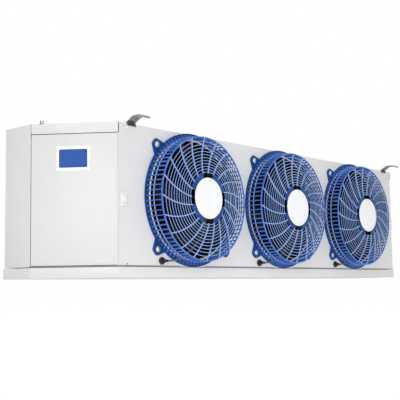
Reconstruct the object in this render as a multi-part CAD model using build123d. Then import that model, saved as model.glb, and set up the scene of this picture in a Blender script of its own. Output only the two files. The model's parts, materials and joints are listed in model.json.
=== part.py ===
from build123d import *
import math
import os

# Walk-in unit cooler: a ceiling-hung evaporator cabinet with three guarded fans.
# X runs along the cabinet, -Y is the side the air leaves by, +Z is up, millimetres.
# The origin is the centre of the four hanger slots, on the straps' top face.

# Cabinet in plan: a long front, two chamfered corners with doors, two short ends.
# Its front's width and its height follow from the fans and their guards.
CHAMFER_X = 225.0
CHAMFER_Y = 305.0
END_D = 180.0
SHEET = 1.5
SEAM = 3.0
BAND_H = 44.0
REAR_LIP = 36.0
JAMB_W = 22.0
JAMB_GAP = 0.6
JAMB_MITRE = 0.7

# Drain pan
PAN_H = 45.5
PAN_OVER = 4.0
PAN_AXIS_OUT = 8.0
PAN_PIN_R = 4.0
PAN_EYE_L = 20.0
PAN_EAR_T = 4.0
PAN_EAR_GAP = 2.0
PAN_HINGE_IN = 380.0
PAN_EYE_R = 5.5
PAN_EYE_TOP = 2.0
PAN_EYE_FOOT = 13.0
PAN_EAR_R = 5.5
PAN_LEAF_T = 2.0
PAN_LEAF_LOW = 7.0
PAN_LEAF_HIGH = 24.0
DRAIN_IN = 110.0
DRAIN_R = 13.35
DRAIN_BORE_R = 10.5
DRAIN_THREAD = 1.25
DRAIN_NUT_R = 19.0
DRAIN_NUT_T = 5.0
DRAIN_REACH = 30.0
DRAIN_BORE_SIDES = 8
DRAIN_INSIDE = 10.0
DRAIN_LIFT = 8.0

# Fans
FAN_COUNT = 3
FAN_GAP = 84.0
FRONT_SIDE = 152.0
THROAT_R = 262.0
MOUTH_FLARE = 17.0
COLLAR_D = 42.0
COLLAR_SIDES = 20
TIP_GAP = 12.0
HUB_R = 74.0
HUB_BACK = 26.0
HUB_SIDES = 10
BLADES = 5
BLADE_CHORD = 128.0
BLADE_PITCH = 32.0
BLADE_T = 3.0
AXLE_R = 6.0
RUNNING = 0.06
MOTOR_R = 66.0
MOTOR_D = 60.0
MOTOR_SIDES = 12
MOTOR_GAP = 4.0

# Fan guard: flange, lugs, drum wall, swirl ribs and hub plate
FLANGE_LAP = 29.0
FLANGE_W = 27.0
FLANGE_T = 4.0
GUARD_FOOT = 2.5
GUARD_OVER = 4.0
LUG_OUT = 20.0
LUG_TIP = 26.0
LUG_HALF = 42.0
LUG_TIP_HALF = 11.0
WALL_IN = 22.0
WALL_T = 5.0
WALL_LIP = 1.0
WALL_D = 86.0
WALL_BARS = 10
BAR_W = 6.0
MID_RING = 36.0
RING_H = 6.0
RIBS = 20
RIB_TURN = 18.0
RIB_T = 4.0
DOME = 17.0
HUB_PLATE_R = 120.0
HUB_PLATE_T = 4.0
DISK_R = 94.0
DISK_T = 3.0
DISK_SIDES = 20
SCREW_R = 11.5
SCREW_T = 3.5
SCREW_SIDES = 6

# Motor cable, in the fan's own frame: across, up, out from the panel
CABLE_R = 3.5
CABLE_SIDES = 4
CABLE_RUN = 90.0
CABLE_TURN_X = -50.0
CABLE_TURN_IN = 58.0
CABLE_TURN_OUT = 46.0
CABLE_TOP_IN = 136.0
PLUG_X = -205.0
PLUG_UNDER = 3.0
PLUG_R = 17.0
PLUG_T = 24.0
PLUG_SIDES = 8
PLUG_ARM_W = 12.0
PLUG_ARM_IN = 10.0
PLUG_EXIT = 9.0
GLAND_W = 18.0
GLAND_H = 10.0

# Finned coil and what feeds it
COIL_D = 132.0
COIL_REAR_GAP = 8.0
COIL_FOOT = 14.0
COIL_TOP_GAP = 12.0
COIL_END_GAP = 10.0
FIN_COUNT = 12
FIN_T = 14.0
FIN_GROOVE = 9.0
BEND_R = 8.0
BEND_PITCH = 66.0
BEND_ROWS = 4
BEND_FACETS = 3
BEND_LEAD = 14.0
BEND_SPAN = 44.0
HEADER_R = 17.5
HEADER_X = 70.0
HEADER_SIDES = 10
HEADER_BELOW = 60.0
HEADER_TOP_GAP = 138.5
LIQUID_FROM_END = 62.0
LIQUID_FORWARD = 2.0
LIQUID_BODY = 26.0
PIPE_SLEEVE = 2.6
SUCTION_R = 17.46
LIQUID_R = 7.94
STUB_REACH = 45.0
STUB_FREE = 40.0
SUCTION_Z = 190.0
LIQUID_Z = 420.0
PIPE_CLEAR = 3.0
BOX_W = 70.0
BOX_D = 120.0
BOX_H = 200.0
BOX_Z = 208.0
BOX_FORWARD = 150.0
BOX_LID = 2.0

# Doors
DOOR_LIP = 14.0
PIVOT_IN = 6.0
PIVOT_BACK = 8.0
PIVOT_R = 2.5
PIVOT_PLATE = 3.0
PIVOT_GAP = 1.0
PIVOT_WALL = 1.2
PIVOT_NECK = 16.0
DOOR_END_GAP = 3.0
CATCH_W = 28.0
CATCH_H = 56.0
CATCH_T = 11.0
CATCH_X = 9.0
CATCH_EDGE = 2.5
CATCH_SLOT_T = 4.0
CATCH_SLOT_IN = 8.0
CATCH_FLOOR = 4.0

# Hanger straps
STRAP_W = 50.0
STRAP_T = 3.0
STRAP_RISE = 28.0
STRAP_FOOT = 62.0
STRAP_REACH = 95.0
STRAP_TIP = 15.0
STRAP_X = 75.0
SLOT_W = 13.0
SLOT_L = 30.0
SLOT_OUT = 55.0

MOUTH_R = THROAT_R + MOUTH_FLARE
FLANGE_R = MOUTH_R + FLANGE_LAP
LUG_R = FLANGE_R + LUG_OUT
WALL_R = FLANGE_R - WALL_IN
FAN_PITCH = 2 * FLANGE_R + FAN_GAP
FAN_X = [FAN_PITCH * (i - (FAN_COUNT - 1) / 2) for i in range(FAN_COUNT)]
FAN_Z = PAN_H + GUARD_FOOT + FLANGE_R
HEIGHT = FAN_Z + FLANGE_R - GUARD_OVER
HALF_FRONT = FAN_X[-1] + FLANGE_R + FRONT_SIDE
HALF_X = HALF_FRONT + CHAMFER_X
DEPTH = CHAMFER_Y + END_D
FRONT = -DEPTH / 2
CORNER = FRONT + CHAMFER_Y
REAR = DEPTH / 2
CHAMFER_L = math.hypot(CHAMFER_X, CHAMFER_Y)
ROOF_UNDER = HEIGHT - SHEET
PANEL_BASE = PAN_H + SEAM
DOOR_TOP = HEIGHT - BAND_H - SEAM
DROP = HEIGHT + STRAP_RISE
TIP_R = THROAT_R - TIP_GAP
COIL_FACE = REAR - COIL_REAR_GAP - COIL_D
COIL_HALF = HALF_FRONT - COIL_END_GAP
DRAIN_X = HALF_FRONT - DRAIN_IN
DRAIN_Z = DRAIN_R + DRAIN_LIFT
PLUG_Y = PLUG_UNDER - WALL_R


def block(x0, x1, y0, y1, z0, z1):
    """A box between two corners."""
    centre = ((x0 + x1) / 2, (y0 + y1) / 2, (z0 + z1) / 2)
    return Pos(*centre) * Box(abs(x1 - x0), abs(y1 - y0), abs(z1 - z0))


def prism(points, z0, z1):
    """An upright prism on a plan outline."""
    outline = make_face(Polyline(*points, close=True))
    return extrude(Pos(0, 0, z0) * outline, z1 - z0, dir=(0, 0, 1))


def cabinet_plan(over):
    """The cabinet's six corners in plan, moved outwards by the same distance on every side."""
    slide_x = over * (CHAMFER_L - CHAMFER_Y) / CHAMFER_X
    slide_y = over * (CHAMFER_L - CHAMFER_X) / CHAMFER_Y
    return [
        (-HALF_X - over, REAR + over),
        (-HALF_X - over, CORNER - slide_y),
        (-HALF_FRONT - slide_x, FRONT - over),
        (HALF_FRONT + slide_x, FRONT - over),
        (HALF_X + over, CORNER - slide_y),
        (HALF_X + over, REAR + over),
    ]


def on_chamfer(side, along, inwards):
    """A plan point on a chamfer, from its front corner along it and in from its outer face."""
    tx, ty = CHAMFER_X / CHAMFER_L, CHAMFER_Y / CHAMFER_L
    x = HALF_FRONT + along * tx - inwards * ty
    y = FRONT + along * ty + inwards * tx
    return (side * x, y)


def chamfer_strip(side, s0, s1, d0, d1, z0, z1):
    """A flat piece of sheet parallel to a chamfer."""
    corners = [(s0, d0), (s1, d0), (s1, d1), (s0, d1)]
    return prism([on_chamfer(side, s, d) for s, d in corners], z0, z1)


def polygon_ring(outer, inner, z0, z1, sides, turn=0.0):
    """A ring with straight sides, or a disk when it has no inner radius."""
    face = RegularPolygon(outer, sides)
    if inner:
        face -= RegularPolygon(inner, sides)
    return Rot(0, 0, turn) * extrude(Pos(0, 0, z0) * face, z1 - z0)


def tube(start, finish, radius):
    """A round bar along Y between two points that share x and z."""
    length = finish[1] - start[1]
    return Pos(start[0], start[1] + length / 2, start[2]) * Rot(90, 0, 0) * Cylinder(radius, length)


def at_fan(x):
    """The place of a fan: its own x across, y up and z out of the front panel."""
    return Plane(origin=(x, FRONT, FAN_Z), x_dir=(1, 0, 0), z_dir=(0, -1, 0)).location


def fuse(parts):
    """One solid from pieces that touch or overlap."""
    first, *rest = parts
    return first.fuse(*rest).clean() if rest else first


# ---------------------------------------------------------------- cabinet sheets


def fan_panel():
    """Front sheet with a venturi collar for each fan and a jamb for each door."""
    panel = block(-HALF_FRONT, HALF_FRONT, FRONT, FRONT + SHEET, PANEL_BASE, ROOF_UNDER)
    hole = polygon_ring(MOUTH_R, 0, -2 * SHEET, SHEET, COLLAR_SIDES)
    for x in FAN_X:
        panel -= at_fan(x) * hole
    pieces = [panel]
    mouth = RegularPolygon(MOUTH_R, COLLAR_SIDES)
    throat = Pos(0, 0, -COLLAR_D) * RegularPolygon(THROAT_R, COLLAR_SIDES)
    mouth_out = RegularPolygon(MOUTH_R + SHEET, COLLAR_SIDES)
    throat_out = Pos(0, 0, -COLLAR_D) * RegularPolygon(THROAT_R + SHEET, COLLAR_SIDES)
    collar = loft([mouth_out, throat_out], ruled=True) - loft([mouth, throat], ruled=True)
    for x in FAN_X:
        pieces.append(at_fan(x) * collar)
    depth = SHEET + JAMB_GAP
    for side in (-1, 1):
        points = [(-JAMB_MITRE * depth, depth), (JAMB_W, depth), (JAMB_W, depth + SHEET)]
        points.append((-JAMB_MITRE * (depth + SHEET), depth + SHEET))
        outline = [on_chamfer(side, s, d) for s, d in points]
        pieces.append(prism(outline, PANEL_BASE, ROOF_UNDER))
    return fuse(pieces)


def roof_panel():
    """Roof sheet, turned down over both chamfers and along the rear."""
    pieces = [prism(cabinet_plan(0), ROOF_UNDER, HEIGHT)]
    for side in (-1, 1):
        band = chamfer_strip(side, SEAM / 2, CHAMFER_L - SEAM / 2, 0, SHEET, HEIGHT - BAND_H, HEIGHT)
        pieces.append(band)
    end = HALF_X - 2 * SHEET
    pieces.append(block(-end, end, REAR - 2 * SHEET, REAR - SHEET, HEIGHT - REAR_LIP, HEIGHT))
    return fuse(pieces)


def end_panel(side):
    """Short end sheet with a rear return."""
    outer, inner = side * HALF_X, side * (HALF_X - SHEET)
    sheet = block(outer, inner, CORNER, REAR, PANEL_BASE, ROOF_UNDER)
    lip = block(outer, side * (HALF_X - JAMB_W), REAR - SHEET, REAR, PANEL_BASE, ROOF_UNDER)
    return fuse([sheet, lip])


def rear_cover(side, holes):
    """Sheet that closes an end bay at the rear, from the end panel's return to the tube plate."""
    x0, x1 = side * (COIL_HALF + SHEET), side * (HALF_X - 2 * SHEET)
    sheet = block(x0, x1, REAR - 2 * SHEET, REAR - SHEET, PANEL_BASE, HEIGHT - REAR_LIP - SEAM)
    for x, z, r in holes:
        hole = Rot(90, 0, 0) * polygon_ring(r, 0, -2 * SHEET, 2 * SHEET, HEADER_SIDES)
        sheet -= Pos(x, REAR - 1.5 * SHEET, z) * hole
    return sheet


def rear_rail():
    """Folded rail under the coil's rear face, which also carries the pan's hinges."""
    end = COIL_HALF
    top = PANEL_BASE + COIL_FOOT
    upright = block(-end, end, REAR - SHEET, REAR, PANEL_BASE, top + COIL_FOOT)
    shelf = block(-end, end, COIL_FACE, REAR - SHEET, top - SHEET, top)
    return fuse([upright, shelf])


def tube_plate(side):
    """Upright sheet that carries one end of the coil and closes the fan chamber."""
    x0, x1 = side * COIL_HALF, side * (COIL_HALF + SHEET)
    return block(x0, x1, FRONT + SHEET, REAR - 2 * SHEET, PANEL_BASE, ROOF_UNDER)


def baffle(x):
    """Partition between two fans, from the front panel to the coil."""
    t = SHEET / 2
    return block(x - t, x + t, FRONT + SHEET, COIL_FACE, PANEL_BASE, ROOF_UNDER)


# ---------------------------------------------------------------- doors


def access_door(side):
    """Flat door on a chamfer with a lip at its top and foot, each bored for a pivot pin."""
    end = CHAMFER_L - DOOR_END_GAP
    pieces = [chamfer_strip(side, SEAM, end, 0, SHEET, PANEL_BASE, DOOR_TOP)]
    pivot = on_chamfer(side, CHAMFER_L - PIVOT_BACK, PIVOT_IN)
    start = JAMB_W + SEAM
    for z in (PANEL_BASE, DOOR_TOP - SHEET):
        lip = chamfer_strip(side, start, end, 0, DOOR_LIP, z, z + SHEET)
        bore = Pos(*pivot, z + SHEET / 2) * Cylinder(PIVOT_R + RUNNING, 2 * SHEET)
        pieces.append(lip - bore)
    return fuse(pieces)


def door_pivots(side):
    """Two goose-neck plates on the end panel, each with the pin that a door lip turns on."""
    px, py = on_chamfer(side, CHAMFER_L - PIVOT_BACK, PIVOT_IN)
    nx, ny = on_chamfer(side, CHAMFER_L - PIVOT_BACK, PIVOT_IN + PIVOT_NECK)
    wall = side * (HALF_X - SHEET)
    half = PIVOT_R + PIVOT_WALL
    outline = [
        (px + side * half * 0.7, py - half * 0.7),
        (px - side * half, py),
        (nx - side * half, ny + half),
        (wall, ny + 2 * PIVOT_NECK),
        (wall, ny + PIVOT_NECK),
        (nx + side * half, ny),
    ]
    reach = PIVOT_GAP + PIVOT_PLATE
    pin_l = PIVOT_GAP + 2 * SHEET
    out = []
    for z, sign in ((PANEL_BASE + SHEET, 1), (DOOR_TOP - SHEET, -1)):
        near, far = z + sign * PIVOT_GAP, z + sign * reach
        plate = prism(outline, min(near, far), max(near, far))
        pin = Pos(px, py, near - sign * pin_l / 2) * Cylinder(PIVOT_R, pin_l)
        out.append(plate.fuse(pin).clean())
    return Compound(out)


def door_catch(side):
    """Moulded catch beside the door's free edge, with a finger slot at its top and foot."""
    x0 = HALF_FRONT - CATCH_X - CATCH_W
    z0 = (PANEL_BASE + DOOR_TOP - CATCH_H) / 2
    body = block(x0, x0 + CATCH_W, FRONT - CATCH_T, FRONT, z0, z0 + CATCH_H)
    body = chamfer(body.faces().sort_by(Axis.Y)[0].edges(), CATCH_EDGE)
    left, right = x0 + CATCH_W / 4, x0 + 3 * CATCH_W / 4
    for z in (z0 + CATCH_SLOT_IN, z0 + CATCH_H - CATCH_SLOT_IN - CATCH_SLOT_T):
        body -= block(left, right, FRONT - CATCH_T, FRONT - CATCH_FLOOR, z, z + CATCH_SLOT_T)
    return body if side > 0 else mirror(body, Plane.YZ)


# ---------------------------------------------------------------- drain pan


def drain_pan():
    """Six-sided tray with eyes at the rear that turn on the hinge pins."""
    outer = prism(cabinet_plan(PAN_OVER), 0, PAN_H)
    inner = prism(cabinet_plan(PAN_OVER - SHEET), SHEET, PAN_H + SHEET)
    wall = REAR + PAN_OVER
    hole_r = DRAIN_R + DRAIN_THREAD + RUNNING
    hole = tube((DRAIN_X, wall - 2 * SHEET, DRAIN_Z), (DRAIN_X, wall + SHEET, DRAIN_Z), hole_r)
    pieces = [outer - inner - hole]
    y, z = pan_axis()
    back = -PAN_AXIS_OUT - SHEET / 2
    r = PAN_EYE_R
    nose = [(-r / 2, 0.9 * r), (0.7 * r, 0.9 * r), (1.1 * r, 0), (0.7 * r, -0.9 * r)]
    outline = [(back, -PAN_EYE_TOP), *nose, (back, -PAN_EYE_FOOT)]
    for x in pan_hinge_x():
        side = make_face(Plane.YZ * Polyline(*[(y + a, z + b) for a, b in outline], close=True))
        eye = extrude(Pos(x - PAN_EYE_L / 2, 0, 0) * side, PAN_EYE_L, dir=(1, 0, 0))
        bore = Pos(x, y, z) * Rot(0, 90, 0) * Cylinder(PAN_PIN_R + RUNNING, 2 * PAN_EYE_L)
        pieces.append(eye - bore)
    return fuse(pieces)


def pan_axis():
    """The pan's hinge line behind its rear wall: y and z."""
    return REAR + PAN_OVER + PAN_AXIS_OUT, PAN_H


def pan_hinge_x():
    """Places of the pan's two hinges along its rear wall."""
    return [PAN_HINGE_IN - HALF_FRONT, HALF_FRONT - PAN_HINGE_IN]


def pan_hinges():
    """Fixed halves of the pan's hinges: a leaf on the rear rail, two ears and the pin."""
    y, z = pan_axis()
    back = REAR - y
    r = PAN_EAR_R
    nose = [(r, 0.9 * r), (0.9 * r, -0.9 * r), (-0.8 * r, -0.8 * r)]
    ear = [(back, PAN_LEAF_LOW), (back, PAN_LEAF_HIGH), *nose]
    inside = PAN_EYE_L / 2 + PAN_EAR_GAP
    outside = inside + PAN_EAR_T
    side = make_face(Plane.YZ * Polyline(*[(y + a, z + b) for a, b in ear], close=True))
    out = []
    for x in pan_hinge_x():
        pieces = [Pos(x, y, z) * Rot(0, 90, 0) * Cylinder(PAN_PIN_R, 2 * outside)]
        leaf_z = (z + PAN_LEAF_LOW, z + PAN_LEAF_HIGH)
        pieces.append(block(x - outside, x + outside, REAR, REAR + PAN_LEAF_T, *leaf_z))
        for left in (x - outside, x + inside):
            pieces.append(extrude(Pos(left, 0, 0) * side, PAN_EAR_T, dir=(1, 0, 0)))
        out.append(fuse(pieces))
    return Compound(out)


def drain_fitting():
    """Drain fitting: a thread through the pan's rear wall, a six-sided nut and a free stub."""
    place = Pos(DRAIN_X, REAR + PAN_OVER, DRAIN_Z) * Rot(-90, 0, 0)
    pieces = [
        Pos(0, 0, -DRAIN_INSIDE / 2) * Cylinder(DRAIN_R + DRAIN_THREAD, DRAIN_INSIDE),
        polygon_ring(DRAIN_NUT_R, 0, 0, DRAIN_NUT_T, 6),
        Pos(0, 0, DRAIN_NUT_T + DRAIN_REACH / 2) * Cylinder(DRAIN_R, DRAIN_REACH),
    ]
    bore = polygon_ring(DRAIN_BORE_R, 0, -2 * DRAIN_REACH, 2 * DRAIN_REACH, DRAIN_BORE_SIDES)
    return place * (fuse(pieces) - bore)


# ---------------------------------------------------------------- fans and guards


def dome_depth(r):
    """How far the guard's front stands out from the panel at a radius."""
    share = (WALL_R - r) / (WALL_R - HUB_PLATE_R)
    return WALL_D + DOME * min(max(share, 0.0), 1.0)


def rib_line():
    """A rib's straight run in plan, from inside the drum to inside the hub plate."""
    turn = math.radians(RIB_TURN)
    inner = HUB_PLATE_R - 2 * HUB_PLATE_T
    start = Vector(WALL_R - WALL_T, 0, 0)
    return start, Vector(inner * math.cos(turn), inner * math.sin(turn), 0)


def swirl_rib():
    """One leaning rib from the drum to the hub plate, following the dome on its edge."""
    start, finish = rib_line()
    run = finish - start
    along = run.normalized()
    tops, feet = [], []
    for share, height in ((0.0, RING_H), (1.0, HUB_PLATE_T)):
        depth = dome_depth((start + run * share).length)
        tops.append((run.length * share, depth))
        feet.append((run.length * share, depth - height))
    plane = Plane(origin=start, x_dir=along, z_dir=along.cross(Vector(0, 0, 1)))
    side = make_face(Polyline(*tops, *feet[::-1], close=True))
    return extrude(plane * side, RIB_T / 2, both=True)


def guard_lug():
    """Tapered ear of the flange, under one screw."""
    root, tip = FLANGE_R - FLANGE_W / 3, LUG_R + LUG_TIP
    outline = [(root, -LUG_HALF), (tip, -LUG_TIP_HALF), (tip, LUG_TIP_HALF), (root, LUG_HALF)]
    return extrude(make_face(Polyline(*outline, close=True)), FLANGE_T)


def fan_guard():
    """Moulded swirl guard: flange with four lugs, slotted drum, domed front of leaning ribs."""
    pieces = [polygon_ring(FLANGE_R, FLANGE_R - FLANGE_W, 0, FLANGE_T, RIBS)]
    for k in range(4):
        pieces.append(Rot(0, 0, 45 + 90 * k) * guard_lug())
    front = WALL_D - RING_H
    bar = Pos(WALL_R, 0, (FLANGE_T + front) / 2) * Box(WALL_T, BAR_W, front - FLANGE_T)
    for k in range(WALL_BARS):
        pieces.append(Rot(0, 0, 360 / WALL_BARS * (k + 0.5)) * bar)
    edge = WALL_T / 3
    pieces.append(polygon_ring(WALL_R + edge, WALL_R - edge, MID_RING, MID_RING + RING_H, RIBS))
    rim = (WALL_R + WALL_T - WALL_LIP, WALL_R - WALL_T - RIB_T)
    pieces.append(polygon_ring(*rim, front, WALL_D, RIBS))
    rib = swirl_rib()
    for k in range(RIBS):
        pieces.append(Rot(0, 0, 360 / RIBS * k) * rib)
    hub_top = WALL_D + DOME
    pieces.append(polygon_ring(HUB_PLATE_R, 0, hub_top - HUB_PLATE_T, hub_top, RIBS, RIB_TURN))
    return fuse(pieces)


def hub_disk():
    """Plain round cover on the guard's hub."""
    return polygon_ring(DISK_R, 0, WALL_D + DOME, WALL_D + DOME + DISK_T, DISK_SIDES)


def motor_face():
    """Depth of the motor's front face, seated on the guard's hub plate."""
    return WALL_D + DOME - HUB_PLATE_T


def motor():
    """Fan motor behind the guard's hub plate, with its axle and a cable gland."""
    face = motor_face()
    body = polygon_ring(MOTOR_R, 0, face - MOTOR_D, face, MOTOR_SIDES, 180 / MOTOR_SIDES)
    low, high = -MOTOR_R - GLAND_H, -MOTOR_R * 0.9
    gland = block(-GLAND_W / 2, GLAND_W / 2, low, high, gland_z() - GLAND_W / 2, gland_z() + GLAND_W / 2)
    axle_l = face - MOTOR_D + HUB_BACK
    axle = Pos(0, 0, axle_l / 2 - HUB_BACK) * Cylinder(AXLE_R, axle_l)
    return fuse([body, gland, axle])


def gland_z():
    """Depth of the cable gland's centre."""
    return motor_face() - GLAND_W


def fan_blades():
    """Axial fan: a hub that turns on the motor's axle, with leaning plate blades."""
    front = motor_face() - MOTOR_D - MOTOR_GAP
    pieces = [polygon_ring(HUB_R, 0, -HUB_BACK, front, HUB_SIDES, 180 / HUB_SIDES)]
    middle = (front - HUB_BACK) / 2
    inner = HUB_R * 0.9
    tip = math.sqrt(TIP_R**2 - (BLADE_CHORD / 2) ** 2)
    half = BLADE_CHORD / 2
    outline = [
        (inner, -half * 0.5),
        (tip, -half),
        (tip, half * 0.4),
        (HUB_R * 1.7, half * 0.8),
        (inner, half * 0.5),
    ]
    blade = extrude(make_face(Polyline(*outline, close=True)), BLADE_T / 2, both=True)
    blade = Pos(0, 0, middle) * Rot(BLADE_PITCH, 0, 0) * blade
    for k in range(BLADES):
        pieces.append(Rot(0, 0, 360 / BLADES * k) * blade)
    bore = Cylinder(AXLE_R + RUNNING, 4 * (front + HUB_BACK))
    return fuse(pieces) - bore


def arm_z():
    """Height of the plug's side arm over the panel."""
    return PLUG_T - PLUG_ARM_IN


def cable_points():
    """The cable's route from the plug, through the drum wall, to the motor's gland."""
    return [
        (PLUG_X + PLUG_R + PLUG_EXIT, PLUG_Y, arm_z()),
        (PLUG_X + CABLE_RUN, PLUG_Y, arm_z()),
        (CABLE_TURN_X, CABLE_TURN_IN - WALL_R, CABLE_TURN_OUT),
        (0.0, CABLE_TOP_IN - WALL_R, gland_z()),
        (0.0, -MOTOR_R - GLAND_H, gland_z()),
    ]


def bend_radii(points):
    """The largest arc each corner's two runs leave room for."""
    radii = []
    for a, b, c in zip(points, points[1:], points[2:]):
        before, after = Vector(*b) - Vector(*a), Vector(*c) - Vector(*b)
        half_turn = math.radians(before.get_angle(after)) / 2
        radii.append(0.45 * min(before.length, after.length) / math.tan(half_turn))
    return radii


def motor_cable():
    """Cable held by its plug, the drum wall and the motor, as straight runs and tangent arcs."""
    points = cable_points()
    radii = bend_radii(points)
    print("cable radii", [round(r, 1) for r in radii])
    path = FilletPolyline(*points, radius=radii)
    section = Plane(origin=path @ 0, z_dir=path % 0) * RegularPolygon(CABLE_R, CABLE_SIDES)
    cable = sweep(section, path=path)
    share = cable.volume / (section.area * path.length)
    print("cable length", round(path.length, 1), "volume ratio", round(share, 4))
    return cable


def cable_plug():
    """Round right-angled plug on the front panel."""
    body = Pos(PLUG_X, PLUG_Y, 0) * polygon_ring(PLUG_R, 0, 0, PLUG_T, PLUG_SIDES)
    length = PLUG_R + PLUG_EXIT
    arm = Pos(PLUG_X + length / 2, PLUG_Y, arm_z()) * Box(length, PLUG_ARM_W, PLUG_ARM_W)
    return body.fuse(arm).clean()


def guard_screws():
    """Washer-headed screws, one on each lug of every guard."""
    head = polygon_ring(SCREW_R, 0, FLANGE_T, FLANGE_T + SCREW_T, SCREW_SIDES)
    out = []
    for x in FAN_X:
        for k in range(4):
            out.append(at_fan(x) * Rot(0, 0, 45 + 90 * k) * Pos(LUG_R, 0, 0) * head)
    return Compound(out)


# ---------------------------------------------------------------- coil and pipework


def coil_fin_pack():
    """Finned block, grooved upright on its front and rear faces."""
    z0, z1 = PANEL_BASE + COIL_FOOT, ROOF_UNDER - COIL_TOP_GAP
    y0, y1 = COIL_FACE, COIL_FACE + COIL_D
    pitch = (2 * COIL_HALF - FIN_T) / (FIN_COUNT - 1)
    front, rear = [], []
    for k in range(FIN_COUNT):
        left = -COIL_HALF + k * pitch
        right = left + FIN_T
        front += [(left, y0), (right, y0)]
        rear += [(left, y1), (right, y1)]
        if k < FIN_COUNT - 1:
            front += [(right, y0 + FIN_GROOVE), (left + pitch, y0 + FIN_GROOVE)]
            rear += [(right, y1 - FIN_GROOVE), (left + pitch, y1 - FIN_GROOVE)]
    return prism(front + rear[::-1], z0, z1)


def bend_rows():
    """Heights of the return bends."""
    middle = (PANEL_BASE + ROOF_UNDER) / 2
    return [middle + BEND_PITCH * (k - (BEND_ROWS - 1) / 2) for k in range(BEND_ROWS)]


def return_bends(side):
    """Return bends on a tube plate, each joining two tubes of the coil."""
    x = COIL_HALF + SHEET
    radius = BEND_SPAN / 2
    out = []
    for row, z in enumerate(bend_rows()):
        y = COIL_FACE + COIL_D * (0.25 if row % 2 else 0.5)
        outer, inner = [], []
        for step in range(BEND_FACETS + 1):
            angle = math.pi * (step / BEND_FACETS - 0.5)
            for r, line in ((radius + BEND_R, outer), (radius - BEND_R, inner)):
                line.append((x + BEND_LEAD + r * math.cos(angle), y + radius + r * math.sin(angle)))
        ends = [(x, y - BEND_R), (x, y + BEND_SPAN + BEND_R), (x, y + BEND_SPAN - BEND_R), (x, y + BEND_R)]
        outline = [ends[0], *outer, ends[1], ends[2], *inner[::-1], ends[3]]
        out.append(prism([(side * a, b) for a, b in outline], z - BEND_R, z + BEND_R))
    return Compound(out)


def header_place():
    """Plan place of the suction header in the right bay."""
    return COIL_HALF + SHEET + HEADER_X, COIL_FACE + COIL_D / 2


def liquid_place():
    """Plan place of the distributor in the right bay."""
    return HALF_X - LIQUID_FROM_END, COIL_FACE + LIQUID_FORWARD


def rear_stub(x, y, z, radius):
    """Pipe from a place in the bay, through the rear cover, to a free end of stated length."""
    free = REAR + STUB_REACH - STUB_FREE
    sleeve = polygon_ring(radius + PIPE_SLEEVE, 0, 0, free - y, HEADER_SIDES)
    stub = Pos(0, 0, free - y + STUB_FREE / 2) * Cylinder(radius, STUB_FREE)
    return Pos(x, y, z) * Rot(-90, 0, 0) * fuse([sleeve, stub])


def suction_header():
    """Upright header in the right bay with its outlet through the rear cover."""
    x, y = header_place()
    z0, z1 = SUCTION_Z - HEADER_BELOW, ROOF_UNDER - HEADER_TOP_GAP
    pieces = [Pos(x, y, 0) * polygon_ring(HEADER_R, 0, z0, z1, HEADER_SIDES)]
    pieces.append(rear_stub(x, y, SUCTION_Z, SUCTION_R))
    for z in bend_rows()[:3]:
        branch = z + BEND_PITCH / 2
        low, high = branch - BEND_R / 2, branch + BEND_R / 2
        pieces.append(block(COIL_HALF + SHEET, x, y - BEND_R / 2, y + BEND_R / 2, low, high))
    return fuse(pieces)


def liquid_line():
    """Liquid stub with its distributor, fed through the rear cover."""
    x, y = liquid_place()
    body = Pos(x, y, LIQUID_Z) * Rot(-90, 0, 0) * polygon_ring(2 * LIQUID_R, 0, 0, LIQUID_BODY, HEADER_SIDES)
    half = LIQUID_R / 2
    feed = block(COIL_HALF + SHEET, x, y + half, y + 3 * half, LIQUID_Z - half, LIQUID_Z + half)
    return fuse([body, rear_stub(x, y + LIQUID_BODY / 2, LIQUID_Z, LIQUID_R), feed])


def box_place():
    """Front and foot of the wiring box."""
    return CORNER - BOX_FORWARD, BOX_Z


def electrical_box():
    """Open wiring box on the left tube plate."""
    y0, z0 = box_place()
    x1 = -COIL_HALF - SHEET
    x0 = x1 - BOX_W
    shell = block(x0, x1, y0, y0 + BOX_D, z0, z0 + BOX_H)
    inside = block(x0 - SHEET, x1 - SHEET, y0 + SHEET, y0 + BOX_D - SHEET, z0 + SHEET, z0 + BOX_H - SHEET)
    return shell - inside


def electrical_box_lid():
    """Flat lid on the wiring box."""
    y0, z0 = box_place()
    x1 = -COIL_HALF - SHEET - BOX_W
    return block(x1 - BOX_LID, x1, y0, y0 + BOX_D, z0, z0 + BOX_H)


# ---------------------------------------------------------------- hangers


def hanger(side, end):
    """Cranked strap on the roof, slotted for a hanging rod, with a turned-down tip."""
    edge = end * DEPTH / 2
    top, under = HEIGHT + STRAP_RISE, HEIGHT + STRAP_RISE - STRAP_T
    tip = edge + end * STRAP_REACH
    outline = [
        (edge - end * STRAP_FOOT, HEIGHT),
        (edge, HEIGHT),
        (edge, under),
        (tip - end * STRAP_T, under),
        (tip - end * STRAP_T, top - STRAP_TIP),
        (tip, top - STRAP_TIP),
        (tip, top),
        (edge - end * STRAP_T, top),
        (edge - end * STRAP_T, HEIGHT + STRAP_T),
        (edge - end * STRAP_FOOT, HEIGHT + STRAP_T),
    ]
    x = side * (HALF_FRONT - STRAP_X)
    face = make_face(Plane.YZ * Polyline(*outline, close=True))
    strap = extrude(Pos(x - STRAP_W / 2, 0, 0) * face, STRAP_W, dir=(1, 0, 0))
    slot = extrude(SlotOverall(SLOT_L, SLOT_W), STRAP_T, both=True)
    return strap - Pos(x, edge + end * SLOT_OUT, top) * slot


# ---------------------------------------------------------------- assembly


def save(name, shape):
    """Write one piece, lowered so that the hanger slots lie at the origin's height."""
    export_step(Pos(0, 0, -DROP) * shape, f"parts/{name}.step")


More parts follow.
